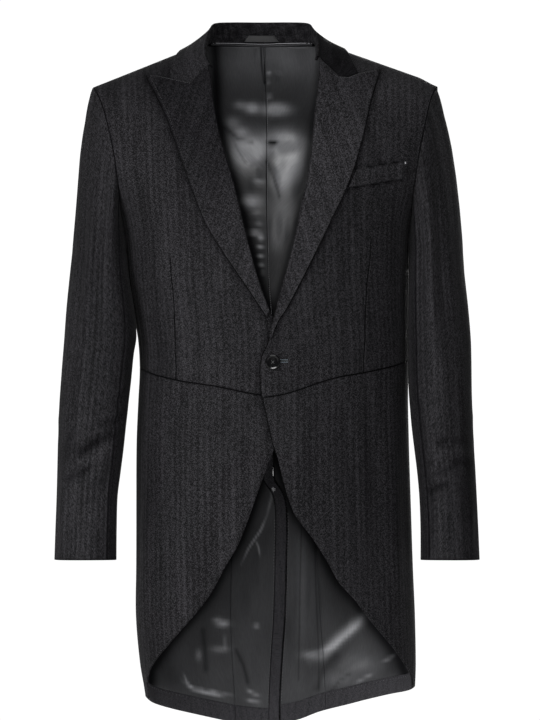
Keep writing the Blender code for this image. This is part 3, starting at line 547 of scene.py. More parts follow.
def strokes(at, table, flank=0.4):
    """How far the listed folds move the cloth: at is each point's place in the table's plane."""
    far = np.zeros(at.shape[:-1])
    for width, depth, line in table:
        best, where = nearest(at, line)
        fade = smooth(0, 0.35, where) * (1 - smooth(0.65, 1, where))
        dip = np.exp(-((best / width) ** 2)) - flank * np.exp(-(((best - 1.9 * width) / width) ** 2))
        far += depth * dip * (0.12 + 0.88 * fade)
    return far


def ripple(at, table):
    """Broad soft unevenness: each row is a wavelength along x and z, a phase and a height."""
    far = np.zeros(at.shape[:-1])
    for long_x, long_z, phase, high in table:
        far += high * np.sin(at[..., 0] * 2 * math.pi / long_x + at[..., 1] * 2 * math.pi / long_z + phase)
    return far


# Looks


def link(tree, a, b):
    tree.links.new(a, b)


def sums(tree, kind, *inputs):
    """A maths node fed by sockets or numbers."""
    node = tree.nodes.new("ShaderNodeMath")
    node.operation = kind
    for k, value in enumerate(inputs):
        if isinstance(value, (int, float)):
            node.inputs[k].default_value = value
        else:
            link(tree, value, node.inputs[k])
    return node.outputs[0]


def tint(tree, factor, dark, light):
    node = tree.nodes.new("ShaderNodeMix")
    node.data_type = "RGBA"
    node.inputs[6].default_value = (*dark, 1)
    node.inputs[7].default_value = (*light, 1)
    node.clamp_factor = False
    link(tree, factor, node.inputs[0])
    return node.outputs[2]


def noise(tree, where, scale, detail=2.0):
    node = tree.nodes.new("ShaderNodeTexNoise")
    node.inputs["Scale"].default_value = scale
    node.inputs["Detail"].default_value = detail
    link(tree, where, node.inputs["Vector"])
    return node.outputs["Fac"]


def scaled(tree, where, by):
    node = tree.nodes.new("ShaderNodeVectorMath")
    node.operation = "MULTIPLY"
    node.inputs[1].default_value = by
    link(tree, where, node.inputs[0])
    return node.outputs[0]


def carried(tree, name, socket):
    """What the mesh carries at each point under a name."""
    node = tree.nodes.new("ShaderNodeAttribute")
    node.attribute_name = name
    return node.outputs[socket]


def fresh(name, rough, specular, sheen, sheen_rough=0.5):
    made = bpy.data.materials.new(name)
    made.use_nodes = True
    tree = made.node_tree
    shader = tree.nodes["Principled BSDF"]
    shader.inputs["Roughness"].default_value = rough
    shader.inputs["Specular IOR Level"].default_value = specular
    shader.inputs["Sheen Weight"].default_value = sheen
    shader.inputs["Sheen Roughness"].default_value = sheen_rough
    return made, tree, shader, carried(tree, "cloth", "Vector")


def bump(tree, shader, height, strength, far):
    node = tree.nodes.new("ShaderNodeBump")
    node.inputs["Strength"].default_value = strength
    node.inputs["Distance"].default_value = far * METRE
    link(tree, height, node.inputs["Height"])
    link(tree, node.outputs[0], shader.inputs["Normal"])


def herringbone(name, dark, light, stripe, streaks, grain):
    """Wool woven in columns whose ribs lean to the left and the right in turn."""
    made, tree, shader, place = fresh(name, 0.8, 0.22, 0.02, 0.4)
    parts = tree.nodes.new("ShaderNodeSeparateXYZ")
    link(tree, place, parts.inputs[0])
    u, v = parts.outputs[0], parts.outputs[1]
    bent = sums(tree, "PINGPONG", u, COLUMN)
    lean = sums(tree, "ADD", v, bent)
    rib = sums(tree, "SINE", sums(tree, "MULTIPLY", lean, 2 * math.pi / RIB))
    turn = sums(tree, "SINE", sums(tree, "MULTIPLY", u, math.pi / COLUMN))
    column_light = sums(tree, "MULTIPLY", turn, stripe)
    streak = noise(tree, scaled(tree, place, (0.11, 0.006, 1)), 1.0, 3.0)
    streak = sums(tree, "MULTIPLY", sums(tree, "SUBTRACT", streak, 0.5), streaks)
    fibre = noise(tree, scaled(tree, place, (1.0, 0.85, 1)), 1.0, 0.0)
    fibre = sums(tree, "MULTIPLY", sums(tree, "SUBTRACT", fibre, 0.5), grain)
    ribs = sums(tree, "MULTIPLY", rib, 0.1)
    total = sums(tree, "ADD", sums(tree, "ADD", column_light, streak), sums(tree, "ADD", ribs, fibre))
    total = sums(tree, "ADD", total, 0.45)
    # painted light and shade carried by the mesh lighten or darken the wool's colour and its specular
    painted_shade = carried(tree, "shade", "Fac")
    total = sums(tree, "MULTIPLY", total, painted_shade)
    total = sums(tree, "MAXIMUM", total, 0.0)
    link(tree, tint(tree, total, dark, light), shader.inputs["Base Color"])
    shine = sums(tree, "MULTIPLY_ADD", total, 0.2, sums(tree, "MULTIPLY", painted_shade, 0.13))
    link(tree, shine, shader.inputs["Specular IOR Level"])
    high = sums(tree, "ADD", sums(tree, "MULTIPLY", rib, 0.5), sums(tree, "MULTIPLY", fibre, 0.3))
    bump(tree, shader, high, 0.5, 0.25)
    return made


def satin(name):
    made, tree, shader, place = fresh(name, 0.3, 0.7, 0.0)
    weave = noise(tree, scaled(tree, place, (1.6, 0.12, 1)), 1.0, 3.0)
    soft = noise(tree, scaled(tree, place, (0.03, 0.02, 1)), 1.0, 0.0)
    both = sums(tree, "ADD", sums(tree, "MULTIPLY", weave, 0.35), sums(tree, "MULTIPLY", soft, 0.3))
    both = sums(tree, "ADD", both, 0.17)
    # painted shade and painted highlights carried by the mesh scale the satin's colour and its specular
    painted_shade = carried(tree, "shade", "Fac")
    both = sums(tree, "MULTIPLY", sums(tree, "MULTIPLY", both, painted_shade), 0.6)
    link(tree, tint(tree, both, (0.003, 0.003, 0.0035), (0.46, 0.465, 0.49)), shader.inputs["Base Color"])
    shine = sums(tree, "MULTIPLY", painted_shade, 0.26)
    link(tree, shine, shader.inputs["Specular IOR Level"])
    rough = sums(tree, "ADD", sums(tree, "MULTIPLY", soft, 0.2), 0.27)
    link(tree, rough, shader.inputs["Roughness"])
    bump(tree, shader, weave, 0.25, 0.12)
    return made


def ribbed(name, dark, light, pitch):
    """A close woven tape or cord."""
    made, tree, shader, place = fresh(name, 0.5, 0.4, 0.1)
    parts = tree.nodes.new("ShaderNodeSeparateXYZ")
    link(tree, place, parts.inputs[0])
    rib = sums(tree, "SINE", sums(tree, "MULTIPLY", parts.outputs[0], 2 * math.pi / pitch))
    grain = noise(tree, place, 1.1, 3.0)
    total = sums(tree, "ADD", sums(tree, "MULTIPLY", rib, 0.25), grain)
    link(tree, tint(tree, total, dark, light), shader.inputs["Base Color"])
    bump(tree, shader, rib, 0.4, 0.2)
    return made


def thread(name, dark, light, specular=0.5):
    made, tree, shader, place = fresh(name, 0.45, specular, 0.0)
    grain = noise(tree, place, 0.9, 2.0)
    link(tree, tint(tree, grain, dark, light), shader.inputs["Base Color"])
    bump(tree, shader, grain, 0.3, 0.1)
    return made


def horn(name):
    made, tree, shader, _ = fresh(name, 0.1, 0.3, 0.0)
    cloud = noise(tree, tree.nodes.new("ShaderNodeTexCoord").outputs["Object"], 220.0, 3.0)
    link(tree, tint(tree, cloud, (0.001, 0.001, 0.0012), (0.004, 0.004, 0.0045)), shader.inputs["Base Color"])
    rough = sums(tree, "ADD", sums(tree, "MULTIPLY", cloud, 0.06), 0.07)
    link(tree, rough, shader.inputs["Roughness"])
    shader.inputs["Coat Weight"].default_value = 0.05
    shader.inputs["Coat Roughness"].default_value = 0.04
    return made


def paper(name):
    made, tree, shader, _ = fresh(name, 0.9, 0.1, 0.0)
    cloud = noise(tree, tree.nodes.new("ShaderNodeTexCoord").outputs["Object"], 1.5, 2.0)
    link(tree, tint(tree, cloud, (0.83, 0.83, 0.83), (0.86, 0.86, 0.86)), shader.inputs["Base Color"])
    return made


# Meshes


def put(name, verts, faces, look, cloth, shade=None):
    """A mesh from millimetres, with its place in the cloth and its painted light and shade at each point."""
    mesh = bpy.data.meshes.new(name)
    mesh.from_pydata((np.asarray(verts, float) * METRE).tolist(), [], faces)
    mesh.validate()
    place = np.zeros((len(verts), 3), np.float32)
    place[:, :2] = cloth
    place[:, 2] = APART * len(bpy.data.meshes) + 0.5
    layer = mesh.attributes.new("cloth", "FLOAT_VECTOR", "POINT")
    layer.data.foreach_set("vector", place.ravel())
    if shade is None:
        shade = np.ones(len(verts))
    layer = mesh.attributes.new("shade", "FLOAT", "POINT")
    layer.data.foreach_set("value", np.asarray(shade, np.float32))
    mesh.polygons.foreach_set("use_smooth", [True] * len(mesh.polygons))
    mesh.materials.append(look)
    mesh.update()
    thing = bpy.data.objects.new(name, mesh)
    bpy.context.scene.collection.objects.link(thing)
    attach(thing, "root")
    return thing


def shell(name, sheet, low, high, look, rim=0.9, shade=None):
    """A piece of cloth between two distances from its sheet, closed by a rounded edge."""
    rows, cols = sheet.points.shape[:2]
    edge = [(0, i) for i in range(cols)]
    edge += [(j, cols - 1) for j in range(1, rows)]
    edge += [(rows - 1, i) for i in range(cols - 2, -1, -1)]
    edge += [(j, 0) for j in range(rows - 2, 0, -1)]
    js = np.array([e[0] for e in edge])
    ies = np.array([e[1] for e in edge])
    here = sheet.points[js, ies]
    if rows > 2 and cols > 2:
        inner = sheet.points[np.clip(js, 1, rows - 2), np.clip(ies, 1, cols - 2)]
    else:
        inner = np.broadcast_to(sheet.points.mean((0, 1)), here.shape)
    run = unit(np.roll(here, -1, 0) - np.roll(here, 1, 0))
    way = inner - here
    corner = ((js == 0) | (js == rows - 1)) & ((ies == 0) | (ies == cols - 1))
    straight = way - run * (way * run).sum(-1, keepdims=True)
    way = unit(np.where(corner[:, None], way, straight))
    out = sheet.normals[js, ies]
    far = np.asarray(high if np.ndim(high) else np.full((rows, cols), high), float)
    near = np.asarray(low if np.ndim(low) else np.full((rows, cols), low), float)
    top = sheet.points + sheet.normals * far[..., None]
    base = sheet.points + sheet.normals * near[..., None]
    top[js, ies] += way * rim
    base[js, ies] += way * rim
    middle = (far + near)[js, ies] / 2
    half = (far - near)[js, ies] / 2
    rings = []
    for turn in (45, 0, -45):
        a = math.radians(turn)
        rings.append(here + way * rim * (1 - math.cos(a)) + out * (middle + half * math.sin(a))[:, None])
    verts = np.concatenate([top.reshape(-1, 3), base.reshape(-1, 3)] + rings)
    area = rows * cols
    index = np.arange(area).reshape(rows, cols)
    a, b, c, d = index[:-1, :-1], index[:-1, 1:], index[1:, 1:], index[1:, :-1]
    faces = np.stack([a, b, c, d], -1).reshape(-1, 4).tolist()
    faces += (np.stack([d, c, b, a], -1).reshape(-1, 4) + area).tolist()
    count = len(edge)
    loop = [index[js, ies]] + [2 * area + k * count + np.arange(count) for k in range(3)]
    loop.append(index[js, ies] + area)
    for one, two in zip(loop, loop[1:]):
        ahead, next_two = np.roll(one, -1), np.roll(two, -1)
        faces += np.stack([ahead, one, two, next_two], -1).tolist()
    cloth = sheet.cloth.reshape(-1, 2)
    rim_cloth = sheet.cloth[js, ies]
    cloth = np.concatenate([cloth, cloth] + [rim_cloth] * 3)
    if shade is not None:
        flat_shade = np.asarray(shade, float).reshape(-1)
        rim_shade = np.asarray(shade, float)[js, ies]
        shade = np.concatenate([flat_shade, flat_shade] + [rim_shade] * 3)
    made = put(name, verts, faces, look, cloth, shade)
    fix_faces(made)
    return made


def fix_faces(thing):
    """Turns the faces outwards when the first lies inside out."""
    mesh = thing.data
    co = np.zeros(len(mesh.vertices) * 3)
    mesh.vertices.foreach_get("co", co)
    co = co.reshape(-1, 3)
    mesh.calc_loop_triangles()
    tris = np.zeros(len(mesh.loop_triangles) * 3, int)
    mesh.loop_triangles.foreach_get("vertices", tris)
    tris = tris.reshape(-1, 3)
    p = co[tris]
    volume = (p[:, 0] * np.cross(p[:, 1], p[:, 2])).sum()
    if volume < 0:
        mesh.flip_normals()


def bar(name, routes, radius, look, sides=6):
    """Threads and cords: each route is a line of points, joined in one mesh."""
    verts, faces, cloth = [], [], []
    base = 0
    for route in routes:
        route = np.asarray(route, float)
        run = unit(np.gradient(route, axis=0))
        lift = np.where(np.abs(run[:, 2:3]) > 0.9, np.array([[1.0, 0, 0]]), np.array([[0, 0, 1.0]]))
        one = unit(np.cross(run, lift))
        two = np.cross(run, one)
        count = len(route)
        far = run_of(route)
        swell = np.ones(count)
        swell[0] = swell[-1] = 0.55
        for k in range(sides):
            a = 2 * math.pi * k / sides
            verts.append(route + (one * math.cos(a) + two * math.sin(a)) * radius * swell[:, None])
            cloth.append(np.stack([far, np.full(count, radius * a)], -1))
        for k in range(sides):
            m = (k + 1) % sides
            for j in range(count - 1):
                faces.append([base + k * count + j, base + k * count + j + 1,
                              base + m * count + j + 1, base + m * count + j])
        faces.append([base + k * count for k in range(sides)][::-1])
        faces.append([base + k * count + count - 1 for k in range(sides)])
        base += sides * count
    made = put(name, np.concatenate(verts), faces, look, np.concatenate(cloth))
    fix_faces(made)
    return made


def threads_and_shadow_cords(name, routes, radius, look, sides=6):
    bar(name, routes, radius, look, sides)


def resampled(points, normals, gap):
    """Points every gap along a line, with their directions out and along."""
    far = run_of(points)
    at = np.arange(gap / 2, far[-1], gap)
    p = np.stack([np.interp(at, far, points[:, k]) for k in range(3)], -1)
    n = unit(np.stack([np.interp(at, far, normals[:, k]) for k in range(3)], -1))
    return p, n, unit(np.gradient(p, axis=0))


def stitches(name, points, normals, look, lift, long, gap, radius, across=False):
    """A row of single stitches that dip into the cloth at both ends."""
    p, n, t = resampled(points, normals, gap)
    if across:
        t = np.cross(n, t)
    routes = []
    for spot, out, way in zip(p, n, t):
        up = out * np.sign(lift)
        base = spot + out * lift
        routes.append([base - way * long / 2 - up * radius, base - way * long / 4 + up * radius * 0.7,
                       base + way * long / 4 + up * radius * 0.7, base + way * long / 2 - up * radius])
    threads_and_shadow_cords(name, routes, radius, look)


def line_of(sheet, rows, cols):
    """The points and directions of one row or column of a sheet."""
    return sheet.points[rows, cols], sheet.normals[rows, cols]


# Folds and rows

COLUMN = 4.4  # width of one column of the herringbone
RIB = 2.3
FRONT_FOLDS = [
    # width, depth, then points of x and z
    (7, -1.3, [(22, -392), (55, -362), (92, -338), (118, -330)]),
    (8, -1.0, [(24, -412), (62, -398), (104, -388)]),
    (10, 1.2, [(60, -318), (88, -300), (120, -262)]),
    (12, 1.3, [(118, -205), (124, -232), (120, -262)]),
    (9, -1.0, [(-22, -398), (-58, -372), (-98, -350)]),
    (12, 1.0, [(-60, -330), (-92, -300), (-112, -262)]),
    (10, -1.1, [(150, -96), (163, -130), (168, -170), (165, -215)]),
    (10, -1.1, [(-152, -98), (-163, -135), (-168, -180), (-166, -225)]),
    (8, -0.9, [(112, -60), (140, -92), (158, -130)]),
    (8, -0.9, [(-112, -62), (-140, -96), (-156, -134)]),
    (9, -0.8, [(120, -418), (142, -396), (168, -382)]),
    (9, -0.8, [(-118, -424), (-140, -404), (-166, -392)]),
]
SKIRT_FOLDS = [
    (14, 2.4, [(166, -450), (170, -560), (176, -680), (182, -790)]),
    (10, -1.8, [(143, -470), (148, -580), (150, -700)]),
    (9, -1.3, [(110, -455), (116, -560), (124, -660)]),
    (12, 1.1, [(82, -470), (92, -570), (104, -650)]),
    (8, -1.3, [(186, -520), (188, -640), (186, -770)]),
    (10, 1.4, [(-168, -590), (-166, -660), (-172, -760)]),
    (9, -1.5, [(-178, -540), (-177, -650), (-180, -740)]),
    (14, -1.1, [(-128, -470), (-132, -580), (-140, -700)]),
    (12, 1.0, [(-92, -470), (-100, -560), (-108, -650)]),
]
BACK_FOLDS = [
    (12, -2.0, [(20, -330), (70, -356), (120, -372)]),
    (10, -1.6, [(-18, -345), (-66, -362), (-118, -380)]),
    (9, -1.3, [(26, -372), (74, -392), (110, -398)]),
    (11, -1.5, [(-30, -384), (-80, -398), (-124, -396)]),
    (16, 1.8, [(96, -60), (104, -150), (98, -240)]),
    (15, 1.6, [(-98, -66), (-106, -160), (-100, -250)]),
    (14, -2.0, [(60, -450), (66, -600), (74, -760)]),
    (13, -1.8, [(-62, -460), (-72, -590), (-78, -740)]),
    (16, 2.2, [(104, -470), (112, -640), (118, -840)]),
    (15, 2.0, [(-106, -460), (-114, -620), (-120, -850)]),
    (10, -1.2, [(30, -30), (60, -56), (86, -96)]),
    (10, -1.1, [(-34, -30), (-62, -58), (-90, -100)]),
]
LINING_FOLDS = [
    (1.7, 2.4, [(-13.9, 24), (-13.6, 0), (-10.5, -19)]),
    (1.7, 2.4, [(-6.1, 24), (-6.6, 0), (-9.0, -19)]),
    (3.0, -1.2, [(-9.6, 22), (-9.8, -8)]),
    (6, 2.2, [(-62, -60), (-44, -82), (-27, -102)]),
    (9, -2.6, [(-58, -92), (-34, -112), (-10, -118)]),
    (7, 2.0, [(-50, -128), (-30, -138), (-8, -146)]),
    (11, -3.0, [(0, -96), (26, -108), (60, -112)]),
    (5, 2.2, [(4, -104), (12, -114), (18, -122)]),
    (10, -2.8, [(56, -116), (32, -146), (15, -186)]),
    (5, 2.4, [(-3, -136), (8, -156), (15, -178)]),
    (8, 2.0, [(72, -130), (52, -168), (38, -205)]),
    (6, -2.0, [(-20, -156), (-6, -162)]),
    (8, -2.8, [(-46, -186), (-24, -192), (-4, -194)]),
    (5, 2.0, [(-40, -204), (-20, -209), (-4, -212)]),
    (4, -1.8, [(-26, -219), (-5, -222)]),
    (4, 1.6, [(-28, -230), (-5, -232)]),
    (4, -1.8, [(-26, -240), (-4, -243)]),
    (4, -1.5, [(-22, -259), (-3, -261)]),
    (4, 1.5, [(-30, -268), (-3, -268)]),
    (4, -1.5, [(-20, -275), (-2, -276)]),
    (4, -1.4, [(-20, -288), (-2, -289)]),
    (7, -1.8, [(22, -200), (23, -228), (21, -256)]),
    (7, 1.6, [(38, -230), (36, -262), (28, -300)]),
    (4, -1.4, [(10, -14), (22, -20)]),
    (4, -1.2, [(-30, -62), (-18, -58)]),
    (5, -1.3, [(0, -64), (30, -62)]),
    (12, 2.2, [(-96, -180), (-60, -210), (-34, -236)]),
    (12, 2.2, [(100, -190), (70, -230), (44, -262)]),
    (10, -2.0, [(-110, -300), (-60, -320), (-12, -326)]),
    (10, -2.0, [(112, -310), (66, -330), (14, -334)]),
    (9, 2.0, [(-120, -360), (-64, -372), (-12, -366)]),
    (9, 2.0, [(120, -372), (60, -386), (16, -380)]),
    # below the waist
    (6, -2.4, [(9, -560), (5, -590), (-2, -625)]),
    (3.5, -2.2, [(-1, -632), (-13, -655), (-26, -676), (-34, -690)]),
    (3.5, -1.8, [(-16, -660), (-11, -674), (-9, -684)]),
    (7, 1.6, [(-22, -690), (-12, -722), (-14, -760)]),
    (6, -1.6, [(-10, -706), (-9, -728)]),
    (9, -2.4, [(-80, -764), (-64, -772), (-44, -778)]),
    (5, 2.0, [(-75, -766), (-75, -806)]),
    (6, 2.0, [(-54, -800), (-56, -852)]),
    (8, -2.2, [(-100, -804), (-82, -812), (-58, -812)]),
    (9, -2.0, [(-44, -806), (-26, -826), (-18, -850)]),
    (5, -2.4, [(-122, -852), (-96, -862), (-70, -866), (-50, -865)]),
    (5, -2.0, [(-40, -858), (-22, -872), (-8, -876)]),
    (6, 2.0, [(-36, -806), (-16, -838), (-10, -868)]),
    (5, -1.6, [(-20, -778), (-4, -786)]),
    (5, -1.6, [(-14, -802), (-2, -806)]),
    (8, -2.4, [(48, -640), (50, -720), (52, -800)]),
    (6, 2.0, [(60, -640), (63, -720), (66, -806)]),
    (7, -2.0, [(73, -650), (76, -720), (84, -790)]),
    (8, -3.0, [(142, -754), (112, -786), (84, -816), (56, -816)]),
    (6, 2.2, [(128, -790), (100, -820), (84, -834)]),
    (5, 2.0, [(88, -826), (86, -866)]),
    (6, -2.2, [(176, -808), (156, -820), (120, -836), (100, -850)]),
    (6, -1.8, [(122, -846), (104, -862)]),
    (5, 1.8, [(36, -640), (34, -740), (32, -840)]),
]
# Painted highlights where the back lining is drawn as catching the light: place, half width, half height, how
# much.
GLOW = [
    (-3, 0, 90, 30, 0.3),
    (-30, -122, 26, 21, 2.0),
    (-16, -122, 12, 13, 1.2),
    (22, -110, 25, 15, 1.8),
    (31, -132, 17, 26, 2.2),
    (22, -158, 12, 20, 1.9),
    (13, -64, 16, 7, 3.0),
    (-20, -62, 9, 6, 2.2),
    (-36, -58, 8, 5, 0.9),
    (3.2, -14, 3, 2.4, 1.2),
    (2.8, -27, 2, 3, 0.6),
    (3.6, -46, 4, 3, 0.9),
    (-46, -82, 10, 8, 0.7),
    (-34, -94, 9, 6, 0.9),
    (9, -111, 8, 4, -2.6),
    (-11, -164, 7, 4, 1.3),
    (-22, -192, 12, 8, 2.1),
    (-14, -208, 8, 3, 0.5),
    (-10, -220, 5, 3, 0.6),
    (-18, -235, 9, 3, 1.9),
    (-8, -241, 4, 3.6, 1.6),
    (-9, -254, 4.5, 2.2, 1.7),
    (-9, -266, 4.5, 2.2, 1.6),
    (-8, -278, 4, 2.4, 1.6),
    (-6, -289, 3.5, 2, 1.2),
    (22, -205, 14, 26, 0.5),
    (14, -240, 9, 18, 0.35),
    (-60, -769, 8, 4, 1.5),
    (-68, -764, 6, 3, 0.8),
    (-94, -812, 4, 7, 0.6),
    (-64, -804, 11, 4, 0.6),
    (-14, -772, 4, 3, 0.7),
    (60, -812, 12, 5, 0.7),
    (48, -700, 8, 110, 0.16),
    (22, -700, 7, 120, 0.1),
    (128, -826, 22, 14, 0.22),
    (100, -846, 24, 10, 0.22),
]
GLOW_LINES = [
    # painted highlights along creases: half width, how much, then points of x and z
    (1.7, 1.2, [(9, -576), (7, -596), (0, -622)]),
    (1.5, 3.0, [(2, -618), (-8, -641), (-17, -654), (-26, -668), (-35, -688)]),
    (1.2, 2.0, [(-16, -653), (-11, -664), (-9, -678)]),
    (6.5, 3.2, [(150, -742), (126, -768), (100, -790), (78, -812), (60, -820)]),
    (3.0, 1.8, [(146, -742), (120, -776), (92, -800), (56, -812)]),
    (2.0, 3.0, [(-118, -846), (-106, -856), (-90, -862), (-66, -866), (-46, -867)]),
    (1.5, 2.2, [(-116, -836), (-110, -850), (-98, -862)]),
    (1.6, 1.8, [(-98, -856), (-84, -862), (-64, -862)]),
    (2.0, 2.2, [(184, -806), (172, -815), (160, -820)]),
    (1.6, 1.3, [(130, -850), (112, -862), (98, -868)]),
    (1.6, 1.2, [(150, -836), (138, -842), (122, -850)]),
    (2.0, 1.6, [(-30, -858), (-20, -864), (-8, -868)]),
    (2.0, 1.6, [(-30, -873), (-18, -876), (-6, -878)]),
    (1.5, 1.0, [(-60, -780), (-58, -800), (-58, -812)]),
]
# Painted shade where folds and edges keep the light off the lining: half width, how much, then points.
SHADE_LINES = [
    (1.2, 0.8, [(-7.4, 26), (-6.8, 0), (-3.2, -28)]),
    (1.1, 0.65, [(-2.0, 26), (-2.4, 0), (-2.2, -28)]),
    (9, 0.93, [(-72, 20), (-68, -68), (-60, -107), (-42, -173), (-30, -218), (-21, -256), (-8, -303),
               (8, -350)]),
    (6, 0.6, [(76, 20), (70, -45), (62, -95), (55, -157), (42, -218), (27, -284), (12, -338)]),
    (10, 0.92, [(10, -530), (-6, -571), (-36, -653), (-56, -688), (-76, -725), (-101, -757),
                (-134, -794), (-160, -832), (-163, -860)]),
    (12, 0.9, [(12, -530), (36, -612), (65, -653), (82, -680), (99, -710), (120, -733), (137, -756),
               (159, -782), (185, -816), (198, -850)]),
    (2.2, 0.6, [(-1, -134), (6, -150), (14, -170), (18, -186)]),
    (3.0, 0.5, [(-58, -88), (-40, -104), (-20, -110)]),
    (2.0, 0.35, [(-44, -112), (-30, -136), (-8, -150)]),
    (4, 0.5, [(-88, -778), (-86, -800), (-84, -832)]),
    (3, 0.5, [(-42, -806), (-32, -826), (-26, -850)]),
    (1.2, 0.4, [(48, -640), (46, -720), (44, -846)]),
    (1.2, 0.35, [(66, -640), (68, -720), (72, -812), (72, -860)]),
    (5, 0.4, [(96, -812), (78, -832), (70, -858)]),
    (1.8, 0.4, [(116, -836), (100, -848), (90, -862)]),
]
SLEEVE_FOLDS_RIGHT = [
    # width, depth, then points of angle (as 0.87 mm a degree) and z
    (7, -4.0, [(110, -512), (84, -525), (44, -556), (30, -568)]),
    (6, -1.8, [(86, -552), (70, -562), (52, -576)]),
    (6, -2.0, [(150, -470), (122, -490), (100, -500)]),
    (6, -1.6, [(150, -446), (128, -460), (110, -468)]),
    (9, 1.6, [(104, -540), (80, -580), (66, -612)]),
    (9, 1.8, [(48, -150), (50, -250), (46, -360), (44, -440)]),
    (8, -1.4, [(72, -140), (74, -240), (70, -330)]),
    (9, 1.2, [(92, -120), (96, -240), (92, -340)]),
    (8, -1.6, [(-62, -484), (-44, -498), (-24, -510)]),
    (8, -1.6, [(-80, -470), (-58, -484), (-36, -490)]),
    (10, 1.4, [(20, -590), (26, -640), (30, -676)]),
]
SLEEVE_FOLDS_LEFT = [
    (6, -3.2, [(112, -588), (100, -583), (84, -575)]),
    (6, -2.8, [(98, -562), (84, -553), (72, -543)]),
    (7, -2.2, [(92, -521), (74, -518), (58, -521)]),
    (7, -1.8, [(60, -545), (46, -549), (36, -552)]),
    (7, 1.4, [(100, -557), (70, -532), (46, -535)]),
    (6, 1.2, [(106, -575), (84, -566)]),
    (9, 1.4, [(92, -598), (90, -640), (90, -674)]),
    (6, -1.6, [(150, -462), (134, -472), (118, -480)]),
    (9, 2.0, [(74, -130), (80, -220), (84, -320), (80, -430)]),
    (7, -1.6, [(96, -150), (102, -250), (100, -350)]),
    (8, -1.4, [(52, -160), (54, -280), (52, -400)]),
    (8, -1.6, [(-62, -486), (-44, -496), (-24, -504)]),
    (8, -1.5, [(-80, -466), (-60, -478), (-40, -484)]),
    (10, 1.4, [(22, -600), (28, -640), (30, -676)]),
]
# How far the outer side of each sleeve stands out from its ring: height and distance.
SWELL_RIGHT = [(-130, 0.0), (-100, -1.2), (-85, -2.2), (-50, -2.2), (-40, -1.0)]
SWELL_LEFT = [(-290, 0.0), (-240, 2.2), (-200, 3.4), (-160, 3.4), (-120, 2.0), (-95, 0.0), (-75, -2.0),
              (-45, -3.0)]
SOFT = [
    # wavelength along x and z, phase, height
    (190, 520, 0.4, 0.5),
    (-120, 300, 1.7, 0.35),
    (74, 900, 2.9, 0.25),
]
SOFT_LINING = [
    (90, 230, 0.7, 0.7),
    (-58, 150, 2.1, 0.45),
    (34, -96, 4.0, 0.25),
]
DART_RIGHT = [(-131, -262), (-130.4, -269.3), (-125.9, -323.7), (-124, -389), (-123.1, -429.8), (-123, -440)]
DART_LEFT = [(141.3, -238), (140.8, -244.8), (139.1, -277.4), (135.3, -307.4), (131.9, -418.9), (131.6, -430)]
KNOT = 0.62  # the column that lies along the dart
DART_TOP = {-1: -266.0, 1: -242.0}

UPPER = [1 - math.sin(math.radians(k * 90 / 62)) for k in range(62, -1, -1)]
BACK_UPPER = [1 - math.sin(math.radians(k * 90 / 52)) for k in range(52, -1, -1)]
LOWER = 58
FORE_COLS = sorted(set([k / 54 for k in range(55)]) - {33 / 54, 34 / 54})
FORE_COLS = sorted(FORE_COLS + [KNOT - 0.009, KNOT - 0.005, KNOT, KNOT + 0.005, KNOT + 0.009])
SIDE_PARTS = np.linspace(0, 1, 30)
BACK_COLS = np.linspace(0, 1, 48)
LINING_COLS = np.concatenate([[0, 0.0025], np.linspace(0.006, 0.17, 30), np.linspace(0.184, 0.985, 54),
                              [0.994, 1]])
HEM_PART = 0.949
TAIL = [0, 0.0024] + [HEM_PART * k / 110 for k in range(1, 111)]
TAIL += [mix(HEM_PART, 1, k / 7) for k in range(1, 8)]

WOOL = herringbone("wool", (0.0022, 0.0021, 0.0026), (0.0158, 0.0149, 0.0178), 0.16, 1.4, 3.4)
WOOL_TURNED = herringbone("wool_turned", (0.0022, 0.0021, 0.0026), (0.0168, 0.0158, 0.019), 0.1, 1.1, 3.2)
WOOL_FACE = herringbone("wool_facing", (0.008, 0.0078, 0.009), (0.062, 0.06, 0.068), 0.04, 0.3, 0.9)
LINING_LOOK = satin("lining")
TAPE_LOOK = ribbed("tape", (0.003, 0.003, 0.004), (0.01, 0.01, 0.011), 1.1)
PIPING = thread("piping", (0.1, 0.1, 0.11), (0.42, 0.42, 0.44), 0.5)
DIM_THREAD = thread("dim_thread", (0.015, 0.015, 0.017), (0.06, 0.06, 0.065), 0.6)
NECK_LOOK = thread("neck_roll", (0.02, 0.02, 0.022), (0.06, 0.06, 0.065), 0.3)
GREY_THREAD = thread("grey_thread", (0.06, 0.06, 0.065), (0.16, 0.16, 0.17), 0.6)
DARK_THREAD = thread("dark_thread", (0.006, 0.006, 0.007), (0.02, 0.02, 0.022))
# near-black look of the cords that stand for shadow lines
NIGHT = thread("shadow_line", (0.0006, 0.0006, 0.0006), (0.002, 0.002, 0.002), 0.04)
SEAM_THREAD = thread("seam_thread", (0.16, 0.16, 0.17), (0.36, 0.36, 0.38), 0.4)
PALE_THREAD = thread("pale_thread", (0.3, 0.3, 0.32), (0.6, 0.6, 0.62))
NIGHT_THREAD = thread("night_thread", (0.006, 0.01, 0.012), (0.02, 0.028, 0.032))
BLUE_THREAD = thread("blue_thread", (0.07, 0.1, 0.12), (0.2, 0.24, 0.28))
BUTTON_LOOK = horn("horn")

SEAM_DARK = 0.05  # painted shade of the outermost row along a seam
NEXT_DARK = 0.75  # and of the row beside the waist seam
EDGE_DARK = 0.8  # painted shade of the edges of fronts and hem
DART_DEPTH = 1.0
# Painted light and shade on the front: place, half width, half height, how much.
FRONT_LIGHT_AND_SHADE = [
    (-120, -25, 60, 45, -0.4),
    (-100, -120, 55, 100, -0.32),
    (150, -28, 70, 34, 0.75),
    (80, -180, 60, 120, -0.34),
    (70, -420, 90, 100, -0.15),
    (100, -600, 90, 150, -0.2),
    (-165, -600, 30, 160, -0.3),
]
